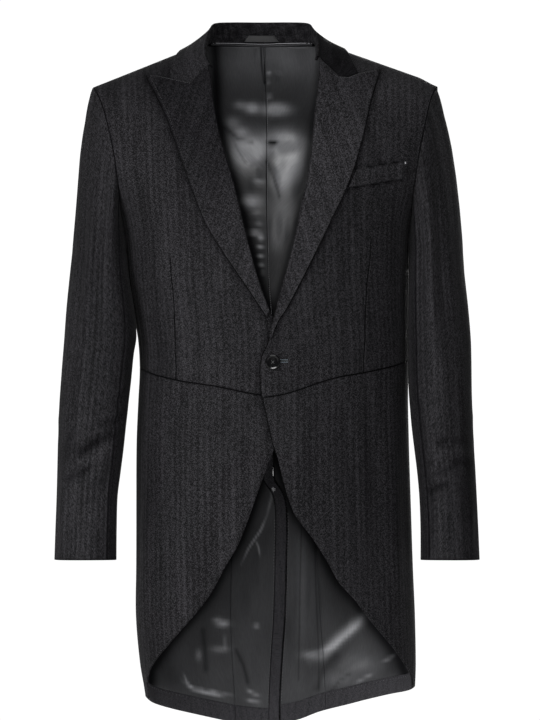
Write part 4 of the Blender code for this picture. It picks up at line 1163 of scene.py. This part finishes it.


# Painted shadows beside edges that lie on the front's wool: half width, how much they darken it, and the
# line.
FRONT_EDGE_SHADOWS = [
    (6.0, 0.5, OUTER_RIGHT),
    (5.2, 0.5, OUTER_LEFT),
    (2.4, 0.85, POCKET_LOW),
    (1.8, 0.85, POCKET_TOP),
]
LAP_EDGE_SHADOWS = [(5.5, 0.5, ROLL_LEFT[9:]), (5.5, 0.5, SKIRT_LEFT[:5])]  # on the right front alone


def painted_front_light(side, sheet):
    """Painted light and shade on the front's wool: lighter and darker patches, and painted shadow beside what
    lies on it.
    """
    at = flat_at(sheet)
    made = shaded(at, 1 + spots(at, FRONT_LIGHT_AND_SHADE), FRONT_EDGE_SHADOWS + (LAP_EDGE_SHADOWS if side < 0 else []))
    return np.where(sheet.points[..., 1] < 0, made, 1.0)

# Painted light and shade on the sleeves: spots, then crease lines with half width and how much they darken; a
# negative amount paints light.
ARM_LIGHT_AND_SHADE = [
    (-240, -250, 40, 130, -0.27),
    (-235, -610, 30, 70, 0.25),
    (250, -610, 24, 70, -0.12),
    (280, -350, 16, 260, -0.6),
    (284, -600, 14, 80, -0.35),
    (205, -350, 12, 150, -0.15),
]
ARM_CREASE_LIGHT_AND_SHADE = [
    (8, 0.5, [(-254, -532), (-233, -522), (-214, -510)]),
    (5, 0.4, [(-224, -498), (-213, -489)]),
    (5, 0.45, [(-266, -568), (-252, -561), (-240, -552)]),
    (8, -0.35, [(-250, -546), (-231, -537), (-212, -526)]),
    (7, 0.3, [(-264, -510), (-273, -541)]),
    (6, -0.2, [(-247, -486), (-246, -514)]),
    (4, 0.5, [(221, -586), (230, -583), (242, -575)]),
    (4, 0.4, [(231, -562), (248, -552), (255, -543)]),
    (6, 0.4, [(234, -520), (252, -517), (263, -520)]),
    (6, 0.4, [(262, -546), (278, -549)]),
    (6, -0.35, [(229, -556), (257, -528), (275, -533)]),
    (4, -0.3, [(224, -575), (250, -566)]),
    (9, -0.25, [(237, -596), (237, -668)]),
    (5, 0.3, [(225, -596), (222, -668)]),
    (2.5, 0.5, [(207, -461), (217, -564), (222, -590)]),
]


# painted light and shade on the front of a sleeve
def painted_arm_light(sheet):
    at = flat_at(sheet)
    made = shaded(at, 1 + spots(at, ARM_LIGHT_AND_SHADE), ARM_CREASE_LIGHT_AND_SHADE)
    return np.where(sheet.normals[..., 1] < 0, np.clip(made, 0.05, 3), 1.0)


def seam_shade(sheet, deep=0.25):
    """Painted shade along the edges, where the cloth turns into the seam."""
    made = np.ones(sheet.points.shape[:2])
    made[0], made[-1] = deep, deep
    made[:, 0], made[:, -1] = deep, deep
    return made


def flat_at(sheet):
    return sheet.points[..., [0, 2]]


def glow(sheet):
    """Painted highlights and painted shade on the satin: where it is drawn as catching the light and where as
    lying in shade.
    """
    at = flat_at(sheet)
    z = at[..., 1]
    far = np.where(z < -400, 0.34, 0.3) + 0.5 * strokes(at, GLOW_LINES, 0.0)
    far = np.minimum(far + 1.22 * spots(at, GLOW), 2.5)
    far = shaded(at, far, SHADE_LINES)
    # painted shade, deeper low in the opening
    far = far * np.where(z > -400, mix(0.85, 1.0, smooth(-300, -220, z)), 1.0)
    return np.where(sheet.points[..., 1] > 0, np.clip(far, 0.02, 3), 0.3)


def lined(sheet):
    """The lining's own folds: it hangs free of the wool and only ever moves inwards from it."""
    z = sheet.points[..., 2]
    calm = np.where(z < -400, 0.45, mix(0.45, 1.0, smooth(-60, -20, z)))
    by = strokes(flat_at(sheet), LINING_FOLDS) * calm + ripple(flat_at(sheet), SOFT_LINING) - 1.0
    by = np.where(by > 0, 0.35 * by, by)
    rows = np.arange(by.shape[0])[:, None]
    fade = smooth(-1, 3, np.minimum(rows, by.shape[0] - 1 - rows))
    return sheet.moved(np.minimum(by, 0.3) * fade)


def drape(points):
    """How far the folds move the body's cloth, the same for every piece that lies there."""
    at = points[..., [0, 2]]
    y = points[..., 1]
    front = strokes(at, FRONT_FOLDS + SKIRT_FOLDS) * (1 - smooth(-60, -10, y))
    behind = strokes(at, BACK_FOLDS) * smooth(0, 50, y)
    tip = -3.2 * smooth(205, 233, at[..., 0]) * smooth(-90, -50, at[..., 1])
    return (front + behind + ripple(at, SOFT)) * (1 - smooth(-80, -40, points[..., 2])) + tip


def draped(sheet):
    return sheet.moved(drape(sheet.points))


def wear(name, sheet, low, high, look, nodes, shade=None, rim=0.9):
    """Makes a piece that stands for CAD nodes, and hides those nodes."""
    made = shell(name, sheet, low, high, look, rim, shade)
    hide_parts(*nodes)
    return made


def wool_piece(piece, name, sheet, shade, rim=0.75):
    """A piece of the outer cloth."""
    wear(f"{piece}_cloth_{name}", sheet, -CLOTH, 0, WOOL, [f"{piece}_{name}"], shade, rim)


def facing_piece(name, sheet, node):
    """Self cloth turned up inside, along a hem or the vent."""
    wear(name, sheet, INNER_LOW, INNER_HIGH + 0.2, WOOL_FACE, [node], rim=0.5)


def lining_piece(piece, name, sheet):
    sheet = lined(sheet)
    wear(f"lining_{piece}_cloth_{name}", sheet, INNER_LOW - 0.1, INNER_HIGH, LINING_LOOK,
         [f"lining_{piece}_{name}"], glow(sheet), rim=0.4)
    return sheet


def tuck_right(sheet):
    """Draws the right front in, where the left one lies over it."""
    own = CENTRE(sheet.points[..., 2]) - sheet.points[..., 0]
    z = sheet.points[..., 2]
    across = 1 - smooth(24, 62, own)
    up = smooth(-620, -540, z) * (1 - smooth(-335, -265, z))
    return sheet.moved(-3.4 * across * up)


def lap_in(sheet):
    """Draws the right tail in along the vent, under the left one."""
    x, y, z = (sheet.points[..., k] for k in range(3))
    across = 1 - smooth(18, 50, CENTRE(z) - x)
    down = smooth(VENT_TOP - 0.6, VENT_TOP - 0.1, level_at(1, 0, z))
    return sheet.moved(np.where(y < 0, 0.0, -3.4 * across * down))


def arm_line(side, table, behind):
    def angle(level):
        level = np.minimum(level, 1.0)
        x = table(level)
        turn = angle_at(x, height(side, x, level))
        return 180 - turn if behind else turn

    return angle


def outside(side, name, fore, flank, back, skirt):
    """The outer cloth of one half, its edge stitches, and near-black cords that stand for the shadow lines at
    its waist seam, dart and front edge.
    """
    shade = seam_shade(fore, SEAM_DARK) * painted_front_light(side, fore)
    shade[-2] *= NEXT_DARK
    shade[:, 0] = EDGE_DARK
    knot = int(np.argmin(np.abs(np.array(FORE_COLS) - KNOT)))
    deep = 1 - smooth(DART_TOP[side] - 8, DART_TOP[side] + 2, fore.points[:, knot, 2])
    groove = np.zeros(shade.shape)
    groove[:, knot] = -DART_DEPTH * deep
    # painted shade in the dart's groove, with a little painted light on one side of it
    for aside, much in ((-1, -0.5), (0, -0.97), (1, 0.2)):
        shade[:, knot + aside] *= 1 + much * deep
    fore = fore.moved(groove)
    wool_piece("forepart", name, fore, shade)
    wool_piece("sidebody", name, flank, seam_shade(flank))
    wool_piece("back", name, back, seam_shade(back))
    shade = seam_shade(skirt, SEAM_DARK) * painted_front_light(side, skirt)
    shade[1] *= NEXT_DARK
    shade[-1] = EDGE_DARK
    shade[:, 0] = EDGE_DARK
    wool_piece("skirt", name, skirt, shade)
    for piece, sheet, rows in (("skirt", skirt, slice(3, 115)), ("front", fore, slice(80, 119))):
        stitches(f"{piece}_edge_stitch_{name}", *line_of(sheet, rows, 1), DARK_THREAD, 0.1, 1.6, 4.6, 0.3)

    # near-black cords put where only shadow lines show; the coat has no such cords
    first = 0 if side > 0 else int(np.argmax(fore.points[-1, :, 0] < -8))
    points, out = line_of(fore, -1, slice(first, None))
    threads_and_shadow_cords("waist_seam_shadow_" + name, [points + np.array([0, 0, -0.15]) - 0.25 * out], 0.45, NIGHT)
    points, out = line_of(fore, slice(int(np.argmax(deep > 0.3)), len(fore.points) - 1), knot)
    threads_and_shadow_cords("dart_shadow_" + name, [points + 0.75 * out], 0.36, NIGHT)
    if side > 0:
        above, below = (sheet.points[:, 0] - 1.7 * sheet.normals[:, 0] - np.array([0.5, 0, 0])
                        for sheet in (fore, skirt))
        route = np.concatenate([above[above[:, 2] < -335], below[1:][below[1:, 2] > -535]])
        threads_and_shadow_cords("front_edge_shadow", [route], 0.7, NIGHT)


def linings(side, name, inside, skirt, rows):
    """The lining and the hem facings of one half, and the stitches on them."""
    cols = range(inside.points.shape[1])
    cut = next(k for k, row in enumerate(rows) if row >= 2 + HEM_PART - 1e-6)
    lining = lining_piece("back", name, inside.part(range(cut + 1), cols))
    if side > 0:
        stitches("lining_seam", *line_of(lining, slice(30, 116), 1), SEAM_THREAD, -3.8, 2.2, 3.0, 0.36)
    vent = next(k for k, row in enumerate(rows) if row >= 2.42)
    stitches("vent_stitch_" + name, *line_of(lining, slice(vent, cut), 3), GREY_THREAD, -3.85, 2.2, 4.2, 0.4)
    facing_piece("hem_cloth_" + name, inside.part(range(cut, len(rows)), cols), "hem_facing_" + name)
    cut = TAIL.index(HEM_PART)
    cols = range(20, 84)
    lining_piece("skirt", name, skirt.part(range(4, cut + 1), cols))
    stitches("skirt_hem_stitch_" + name, *line_of(skirt, cut + 1, slice(21, 83)), GREY_THREAD, -3.6, 1.2,
             6.0, 0.25, across=True)
    facing_piece("skirt_hem_cloth_" + name, skirt.part(range(cut, len(TAIL)), cols), "skirt_facing_" + name)


def half(side, name):
    """The body pieces of one half; gives the armhole's points and directions."""
    c = 2 if side > 0 else 1
    waist_z, hem_z = column(WAIST, 0, c), column(HEM, 0, c)
    roll = edge_line(side, ROLL_LEFT if side > 0 else ROLL_RIGHT)
    away = edge_line(side, SKIRT_LEFT if side > 0 else SKIRT_RIGHT)
    dart = edge_line(side, DART_LEFT if side > 0 else DART_RIGHT)

    def waist(angle):
        return level_at(side, 0, waist_z(np.minimum(angle, 180)))

    def hem(angle):
        return level_at(side, 0, hem_z(angle))

    arm_front, arm_back = arm_line(side, ARM_FRONT, False), arm_line(side, ARM_BACK, True)

    def fore_level(angle, row):
        return np.where(row <= 1, row, mix(1, waist(angle), row - 1))

    def fore_outer(level):
        return np.where(level < 1, arm_front(level), SIDE_SEAM)

    def dart_warp(part, first, last, level):
        target = np.clip((dart(level) - first) / (last - first), 0.3, 0.85)
        blend = smooth(0.6, 1.1, level)
        target = mix(KNOT, target, blend)
        beyond = target + (part - KNOT) * (1 - target) / (1 - KNOT)
        return np.where(part < KNOT, part * target / KNOT, beyond)

    rows = UPPER + [1 + k / LOWER for k in range(1, LOWER)] + [2 - 0.006, 2]
    fore = laid(side, rows, FORE_COLS, roll, fore_outer, fore_level, dart_warp)

    def side_level(angle, row):
        return mix(ARM_LOW(np.minimum(angle, ARM_BOTTOM[-1][0])), waist(angle), row)

    flank = laid(side, np.linspace(0, 1, LOWER), SIDE_PARTS, lambda v: SIDE_SEAM + 0 * v, BACK_LINE,
                 side_level)

    def back_level(angle, row):
        upper = ARM_JOIN * row
        middle = mix(ARM_JOIN, waist(angle), row - 1)
        lower = mix(waist(angle), hem(angle), row - 2)
        return np.where(row <= 1, upper, np.where(row <= 2, middle, lower))

    def back_outer(level):
        return np.where(level < ARM_JOIN, arm_back(level), BACK_LINE(level))

    lap = LAP_RIGHT if side < 0 else LAP_LEFT

    def centre(level):
        return 180 + angle_at(lap(level), VENT_Z)

    rows = BACK_UPPER + [1 + k / LOWER for k in range(1, LOWER + 1)] + [2 + part for part in TAIL[1:]]
    back = laid(side, rows, BACK_COLS, centre, back_outer, back_level)

    def skirt_level(angle, row):
        return mix(waist(angle), hem(angle), row)

    skirt = laid(side, TAIL, np.linspace(0, 1, 84), away, BACK_LINE, skirt_level)

    def lining_edge(level):
        below = smooth(VENT_TOP - 0.3, VENT_TOP, level)
        clear = VENT_FACING + 0.5 - LAP_RIGHT(level) if side < 0 else LAP_RIGHT(level) + 2
        return 180 - angle_at(0.15 + below * clear, VENT_Z)

    inside = laid(side, rows, LINING_COLS, lining_edge, back_outer, back_level)
    fore, flank, back, skirt, inside = (draped(sheet) for sheet in (fore, flank, back, skirt, inside))
    hole = [(fore.points[j, -1], fore.normals[j, -1]) for j in range(len(UPPER) - 1)]
    hole += list(zip(flank.points[0], flank.normals[0]))
    last = len(BACK_UPPER) - 2
    hole += [(back.points[j, -1], back.normals[j, -1]) for j in range(last, -1, -1)]

    if side < 0:
        fore, skirt = tuck_right(fore), tuck_right(skirt)
        back, inside = lap_in(back), lap_in(inside)

        def facing_edge(level):
            return 180 - angle_at(VENT_FACING - LAP_RIGHT(level), VENT_Z)

        vent_rows = [row for row in rows if row > 2.2]
        strip = laid(side, vent_rows, np.linspace(0, 1, 7), centre, facing_edge, back_level)
        facing_piece("vent_strip", lap_in(draped(strip)), "vent_facing")
    outside(side, name, fore, flank, back, skirt)
    linings(side, name, inside, skirt, rows)
    return hole

SLEEVE_CURVES = [column(SLEEVE, 0, c) for c in range(1, 7)]


def on_ring(side, z, angle):
    """A point of a sleeve's section, from the outer side round by the front."""
    right_in, right_out, left_in, left_out, front, behind = (curve(z) for curve in SLEEVE_CURVES)
    inner, outer = (left_in, left_out) if side > 0 else (right_in, right_out)
    wide, deep = (outer - inner) / 2, (behind - front) / 2
    tilt = math.radians(SLEEVE_TURN)
    wide = np.sqrt(wide**2 - (deep * math.sin(tilt)) ** 2) / math.cos(tilt)
    turn = np.radians(angle)
    c, s = np.cos(turn), np.sin(turn)
    power = 2 / 2.2
    out = wide * np.copysign(np.abs(c) ** power, c)
    ahead = deep * np.copysign(np.abs(s) ** power, s)
    x = side * ((inner + outer) / 2 + out * math.cos(tilt) - ahead * math.sin(tilt))
    y = (front + behind) / 2 - ahead * math.cos(tilt) - out * math.sin(tilt)
    return vec(x, y, z)


def sleeve(side, name, hole):
    """The sleeve's two pieces, from the armhole to the cuff."""
    ends = np.array([h[0] for h in hole])
    outs = np.array([h[1] for h in hole])
    count = len(hole)
    far = run_of(np.concatenate([ends, ends[:1]]))
    low = int(np.argmin(ends[:, 2]))
    k = np.arange(count)
    behind = 180 + 180 * (far[:-1] - far[low]) / (far[-1] - far[low])
    angle = np.where(k <= low, 180 * far[:-1] / far[low], behind)
    run = unit(np.roll(ends, -1, 0) - np.roll(ends, 1, 0))
    aside = np.cross(outs, run) * side
    z0 = SLEEVE[0][0]
    foot = on_ring(side, np.full(count, float(z0)), angle)
    reach = np.linalg.norm(foot - ends, axis=1, keepdims=True)
    lean = np.maximum((0.45 + 0.55 * np.cos(np.radians(angle))) * CAP_OUT[side > 0], 0.0)
    leave = unit(vec(side * lean, 0 * lean, -1 + 0 * lean)) * reach * 0.35
    arrive = unit(np.array([side * 0.05, 0, -1.0])) * reach * 0.7
    points = []
    ts = np.linspace(0, 1, 56) ** 1.25
    for t in ts:
        a = (2 * t**3 - 3 * t**2 + 1) * ends + (t**3 - 2 * t**2 + t) * leave
        points.append(a + (3 * t**2 - 2 * t**3) * foot + (t**3 - t**2) * arrive)
    near = int(np.argmin(np.abs(ts - 0.15)))
    rise = points[near] - ends
    turn = np.maximum(0.0, np.arctan2((rise * outs).sum(1), (rise * aside).sum(1)))[:, None]
    outer = outs * np.cos(turn) - aside * np.sin(turn)
    points[0] = ends + (aside * np.cos(turn / 2) + outs * np.sin(turn / 2)) * 0.1
    for z in np.linspace(z0, SLEEVE[-1][0], 118)[1:]:
        points.append(on_ring(side, np.full(count, float(z)), angle))
    points = np.array(points)
    around = np.roll(points, -1, 1) - np.roll(points, 1, 1)
    down = np.gradient(points, axis=0)
    normals = unit(np.cross(around, down) * side)
    for j in range(near):
        normals[j] = unit(mix(outer, normals[near], j / near))
    length = run_of(points)
    wide = np.broadcast_to(angle[None] * 0.9, length.shape)
    sheet = Sheet(points, normals, np.stack([wide, length + 60], -1))
    turned = np.where(angle > 240, angle - 360, angle)
    at = np.stack([np.broadcast_to(turned[None] * 0.87, length.shape), points[..., 2]], -1)
    table = SLEEVE_FOLDS_LEFT if side > 0 else SLEEVE_FOLDS_RIGHT
    table = [(w, 1.4 * d, [(a * 0.87, z) for a, z in line]) for w, d, line in table]
    fade = smooth(0, 12, np.arange(len(points)))[:, None]
    by = (strokes(at, table) + ripple(at, SOFT)) * fade
    z = points[..., 2]
    heights, amounts = zip(*(SWELL_LEFT if side > 0 else SWELL_RIGHT))
    swell = np.interp(z, heights, amounts) * np.clip(np.cos(np.radians(angle)), 0, 1)[None]
    swell = swell * smooth(0, 5, np.arange(len(points)))[:, None]
    low_end = -300 if side > 0 else -398
    close = 2.4 * np.exp(-(((angle - 180) / 50) ** 2))[None] * smooth(low_end, low_end + 25, z)
    close = close * (1 - smooth(-252, -232, z))
    sheet = sheet.moved(by + swell + close)
    fore = int(np.argmin(np.abs(angle - FOREARM_SEAM)))
    hind = int(np.argmin(np.abs(angle - HIND_SEAM)))
    rows = range(len(points))
    top = sheet.part(rows, [i % count for i in range(hind, count + fore + 1)])
    under = sheet.part(rows, range(fore, hind + 1))
    for piece in (top, under):
        piece.cloth[..., 0] = np.unwrap(piece.cloth[..., 0], period=324, axis=1)
    wool_piece("top_sleeve", name, top, seam_shade(top, 0.4) * painted_arm_light(top), 0.6)
    # the under sleeve gets painted shade
    wool_piece("under_sleeve", name, under, seam_shade(under, 0.4) * 0.7 * painted_arm_light(under), 0.6)


def lapel(side, name):
    """A lapel turned over on the front, its stitches and a near-black cord for the shadow line at its edge.
    """
    table = np.array(TOP_LEFT if side > 0 else TOP_RIGHT, float)
    keys = np.linspace(0, 1, len(table))
    fine = np.linspace(0, 1, 37)
    top = np.stack([np.interp(fine, keys, table[:, 0]), np.interp(fine, keys, table[:, 1])], -1)
    parts = np.linspace(0, 1, 110) ** 1.3
    inner = along(INNER_LEFT if side > 0 else INNER_RIGHT, parts)
    outer = along(OUTER_LEFT if side > 0 else OUTER_RIGHT, parts)
    foot = mix(inner[-1], outer[-1], fine[:, None])
    sheet = patch(side, top, foot, inner, outer)
    if side < 0:
        sheet = tuck_right(sheet)
    u = fine[None, :]
    w = np.linspace(0, 1, 110)[:, None]
    lift = 1.2 + 1.4 * (1 - u) ** 2 + 1.0 * (1 - smooth(0, 8 / 17, w))
    roll = 1.6 * np.exp(-(((u - 0.12) / 0.13) ** 2)) * smooth(0, 0.12, w) * (1 - smooth(0.8, 1, w))
    sheet = sheet.moved(lift + roll)
    angle = math.radians(18) * side
    x, z = sheet.points[..., 0], sheet.points[..., 2]
    c, s = math.cos(angle), math.sin(angle)
    cloth = np.stack([x * c + z * s, -z * c + x * s], -1)
    sheet = Sheet(sheet.points, sheet.normals, cloth)
    # painted light: the lapel on the wearer's left lighter, the one on the wearer's right darker towards its
    # top
    light = mix(1.2, 1.36, smooth(0.1, 0.4, w)) if side > 0 else mix(0.5, 1.15, smooth(0.35, 0.85, w))
    shade = seam_shade(sheet, 0.45) * light
    wear("lapel_cloth_" + name, sheet, 0, 2.2, WOOL_TURNED, ["lapel_" + name], shade, rim=1.0)
    # near-black cord that stands for the shadow line under the lapel's edge
    out = unit(sheet.points[1:109, -1] - sheet.points[1:109, -3])
    edge = sheet.points[1:109, -1] - 0.9 * sheet.normals[1:109, -1] + 0.45 * out
    threads_and_shadow_cords("lapel_edge_shadow_" + name, [edge], 0.8, NIGHT)
    lines = [line_of(sheet, slice(3, 108), -3), line_of(sheet, 2, slice(12, 35))]
    for k, (line, look) in enumerate(zip(lines, (DARK_THREAD, DIM_THREAD))):
        stitches(f"pick_stitch_{name}_{k + 1}", *line, look, 2.2, 1.9, 3.4, 0.32)


def fall(side, start, edge, part, away):
    p = mix(start, edge, part) + away * (FALL_ROUND * part * (1 - part))
    lift = COLLAR_LIFT + COLLAR_WALL / 2 + 1.4 * (1 - part)
    foot, n = on_top(side, side * (p[0] - CENTRE(p[2])), p[1])
    lowest = foot + n * lift
    return lowest if p[2] < lowest[2] else p


def stations(side, top):
    made = []
    for x, y, z, depth, edge_x, edge_y in COLLAR:
        fold = np.array([COLLAR_X + side * x, y, z], float)
        away = unit(np.array([side * x, y + 25 if y > 0 else 0, 0], float))
        seam = fold - away * 1.0 - np.array([0, 0, depth])
        inside = fold - away * 1.9 - np.array([0, 0, 2.4])
        foot, n = on_top(side, edge_x + side * (COLLAR_X - CENTRE(z)), edge_y)
        edge = foot + n * (COLLAR_LIFT + COLLAR_WALL / 2)
        start = fold + away * 2.3 - np.array([0, 0, 2.0])
        rim = [start] + [fall(side, start, edge, part, away) for part in (0.3, 0.6)] + [edge]
        made.append([seam, mix(seam, inside, 0.5), inside, fold + np.array([0, 0, 0.6])] + rim)
    gorge = []
    for k, lift in ((0, 1.4), (1, 1.0), (2, 0.6), (4, 0.4)):
        angle, level = front_spot(side, *top[k])
        n = outward(side, angle, level)
        gorge.append(body(side, angle, level) + n * (COLLAR_LIFT + COLLAR_WALL / 2 + lift))
    fold = gorge[0] + n * 1.8 + np.array([-side * 2.0, 0, 0])
    inside = gorge[0] + np.array([-side * 4.4, 0, 0]) - n * 0.4
    seam = inside - n * 2.4 + np.array([side * 0.6, 0, 0])
    made.append([seam, mix(seam, inside, 0.5), inside, fold] + gorge)
    return made


def bend(a, b, c, d, t):
    return 0.5 * (2 * b + (c - a) * t + (2 * a - 5 * b + 4 * c - d) * t**2 + (3 * b - a - 3 * c + d) * t**3)


def finer(chain, steps):
    """Rows on a smooth line through the rows given."""
    made = []
    last = len(chain) - 1
    for k in range(last):
        a, b, c, d = chain[max(k - 1, 0)], chain[k], chain[k + 1], chain[min(k + 2, last)]
        made += [bend(a, b, c, d, t / steps) for t in range(steps)]
    return np.array(made + [chain[-1]])


def hanger_loop(fine, middle):
    """The tape over the collar's stand, bowed out between its ends."""
    ends = np.linspace(-1, 1, 15)
    rows = []
    for part in np.linspace(0.95, 0.3, 7):
        line = []
        for end in ends:
            spot = middle + end * mix(6.0, 4.4, (part - 0.3) / 0.65)
            k = min(int(spot), middle + 4)
            low, high = (mix(fine[k, col], fine[k + 1, col], spot - k) for col in (0, 5))
            line.append(mix(low, high, part))
        rows.append(line)
    rows = np.array(rows)
    tape = Sheet(rows, np.broadcast_to(np.array([0, -1.0, 0]), rows.shape))
    tape = tape.moved(np.broadcast_to(mix(*LOOP_LIFT, 1 - ends**2), rows.shape[:2]))
    wear("hanger_loop_tape", tape, 0, 0.9, TAPE_LOOK, ["hanger_loop"], rim=0.35)


def collar():
    """The collar in one piece, and the piping, lining roll and hanger loop inside it."""
    chain = np.array(list(reversed(stations(-1, TOP_RIGHT))) + stations(1, TOP_LEFT)[1:])
    fine = finer(chain, 10)
    fine = np.swapaxes(finer(np.swapaxes(fine, 0, 1), 5), 0, 1)
    sheet = Sheet(fine, unit(np.cross(np.gradient(fine, axis=1), np.gradient(fine, axis=0))))
    far = sheet.cloth[:, :1, 1]
    col = np.arange(fine.shape[1])[None]
    waves = np.sin(far / 5.2 * math.pi + 2.0 * np.sin(far / 31.0))
    pucker = 1.5 * waves * np.exp(-(((col - 4) / 3.5) ** 2)) - 0.5 * np.exp(-(((col - 5) / 1.2) ** 2))
    # painted light and shade over the stand's puckers
    pucker_light = 1 + 0.3 * np.sin(far / 2.3 + 2.6 * np.sin(far / 11.0) + 0.5 * col)
    pucker_light = pucker_light + 0.25 * np.sin(far / 5.7 - 0.7 * col)
    # painted shade: the fall on the wearer's left lies darker, and the stand is darker overall
    fall_shade = np.where(sheet.points[..., 0] > 10, 0.3, 1.0)
    shade = seam_shade(sheet, 0.7) * np.where(col > STAND_COLS, fall_shade, 0.55 * pucker_light)
    sheet = sheet.moved(-pucker)
    wear("collar_cloth", sheet, -COLLAR_WALL / 2, COLLAR_WALL / 2, WOOL_TURNED, ["collar"], shade,
         rim=1.0)
    middle = len(fine) // 2
    span = slice(middle - 31, middle + 32)
    threads_and_shadow_cords("neck_piping", [fine[span, 1] + np.array([0, -1.8, -0.4])], 0.38, PIPING, 8)
    threads_and_shadow_cords("lining_neck_roll", [fine[span, 0] + np.array([0, -1.6, -0.9])], 0.75, NECK_LOOK, 8)
    stitches("stand_stitch", *line_of(sheet, span, 9), DARK_THREAD, COLLAR_WALL / 2, 2.4, 3.6, 0.35)
    hanger_loop(fine, middle)


def pocket():
    """The welt of the chest pocket and its bartack."""
    parts = np.linspace(0, 1, 30)
    top, low = along(POCKET_TOP, parts), along(POCKET_LOW, parts)
    first, last = (mix(top[k], low[k], np.linspace(0, 1, 12)[:, None]) for k in (0, -1))
    sheet = patch(1, top, low, first, last)
    wear("welt_cloth", sheet, 0.5, 2.5, WOOL, ["welt_pocket"], seam_shade(sheet, 0.7), rim=0.8)
    marks = []
    for x, z, tall in ((186.0, -139.6, 3.4), (186.9, -140.0, 3.0)):
        ends, _ = on_front(1, np.array([x, x]), np.array([z, z - tall]), np.array([2.6, 2.6]))
        marks.append(dense(ends, 3))
    threads_and_shadow_cords("welt_bartack", marks, 0.36, PALE_THREAD)


def buttonhole():
    """A keyhole buttonhole: close stitches on both sides of a slit, most of it under the button."""
    routes = []
    for k in range(24):
        x = 12.5 + k * 0.72
        wide = 1.9 if x < 26.5 else 1.9 + 0.5 * math.sin((x - 26.5) / 3.3 * math.pi)
        for way in (-1, 1):
            z = SLIT_Z + np.array([0.35, wide]) * way
            ends, out = on_front(1, np.array([x, x]), z, np.array([0.25, 0.1]))
            middle = ends.mean(0) + out.mean(0) * 0.35
            routes.append([ends[0], middle, ends[1]])
    threads_and_shadow_cords("buttonhole_stitch", routes, 0.3, NIGHT_THREAD)
    x = np.linspace(13.0, 29.2, 12)
    gimp = [on_front(1, x, np.full(12, z), np.full(12, 0.5))[0] for z in (-407.6, -411.0)]
    threads_and_shadow_cords("buttonhole_gimp", gimp, 0.28, BLUE_THREAD)
    slit, _ = on_front(1, np.linspace(12.5, 29.6, 8), np.full(8, SLIT_Z), np.full(8, 0.1))
    threads_and_shadow_cords("buttonhole_slit", [slit], 0.3, DARK_THREAD)


def vent_tack():
    """The tack that holds the top of the vent, inside."""
    routes = []
    marks = ((7.0, -583.0, 12.4, -583.6), (7.2, -585.0, 12.2, -585.4), (9.0, -580.8, 9.4, -588.0))
    for x0, z0, x1, z1 in marks:
        own = np.array([x0, x1])
        z = np.array([z0, z1])
        turn = 180 - angle_at(own - CENTRE(z), z)
        level = level_at(1, 0.0, z)
        ends = body(1, turn, level) - outward(1, turn, level) * 6.4
        routes.append(dense(ends, 3))
    threads_and_shadow_cords("vent_tack", routes, 0.9, PALE_THREAD)


for way, which in ((-1, "right"), (1, "left")):
    sleeve(way, which, half(way, which))
    lapel(way, which)
collar()
pocket()
buttonhole()
vent_tack()


# Button, floor, camera and light

for node, look, slot in (("button", BUTTON_LOOK, "button"), ("button_thread", DARK_THREAD, "thread")):
    thing = frame["nodes"][node]
    thing.data.materials.clear()
    thing.data.materials.append(look)

FLOOR_Z = -1.35
FLOOR_REACH = 6.0
SENSOR = 36.0
DISTANCE = 16.0  # of the camera, far enough to see the coat without perspective
PHOTO_ROWS = 720
PIXEL = 0.00136  # metres of the coat under one pixel of the photo
BACKDROP = 1.05  # brightness of the world to the camera
SKY = 0.12  # and as light

floor_mesh = bpy.data.meshes.new("floor")
corners = [(x * FLOOR_REACH, y * FLOOR_REACH, FLOOR_Z) for x, y in ((-1, -1), (1, -1), (1, 1), (-1, 1))]
floor_mesh.from_pydata(corners, [], [(0, 1, 2, 3)])
floor_mesh.materials.append(paper("floor"))
floor = bpy.data.objects.new("floor", floor_mesh)
bpy.context.scene.collection.objects.link(floor)

lens = bpy.data.cameras.new("camera")
lens.sensor_width = SENSOR
lens.lens = SENSOR * DISTANCE / (PHOTO_ROWS * PIXEL)
lens.clip_end = 100.0
camera = bpy.data.objects.new("camera", lens)
camera.location = (0.00476, -DISTANCE, -0.408)
camera.rotation_euler = (math.radians(90), 0, 0)
bpy.context.scene.collection.objects.link(camera)
bpy.context.scene.camera = camera


def soft_box(name, at, towards, wide, tall, power):
    light = bpy.data.lights.new(name, "AREA")
    light.shape = "RECTANGLE"
    light.size, light.size_y = wide, tall
    light.energy = power
    thing = bpy.data.objects.new(name, light)
    thing.location = at
    way = Vector(towards) - Vector(at)
    thing.rotation_euler = way.to_track_quat("-Z", "Y").to_euler()
    bpy.context.scene.collection.objects.link(thing)


soft_box("key", (-2.3, -2.5, 0.3), (0, 0, -0.45), 1.2, 1.8, 82)
soft_box("fill", (2.0, -3.0, 0.2), (0, 0, -0.4), 1.2, 1.8, 14)
soft_box("front", (-0.25, -5.4, 1.0), (0, 0, -0.4), 1.3, 1.2, 82)
soft_box("top", (0, -1.4, 1.7), (0, 0, -0.3), 1.6, 0.9, 12)
soft_box("rear", (0.3, 3.0, 0.1), (0, 0, -0.4), 1.6, 1.4, 55)

world = bpy.data.worlds.new("studio")
world.use_nodes = True
sky = world.node_tree.nodes["Background"]
sky.inputs["Color"].default_value = (1.0, 1.0, 1.0, 1)
seen = world.node_tree.nodes.new("ShaderNodeLightPath").outputs["Is Camera Ray"]
strength = sums(world.node_tree, "MULTIPLY_ADD", seen, BACKDROP - SKY, SKY)
world.node_tree.links.new(strength, sky.inputs["Strength"])
bpy.context.scene.world = world
bpy.context.scene.view_settings.view_transform = "Standard"
bpy.context.scene.view_settings.look = "None"
bpy.context.scene.view_settings.exposure = 0.0
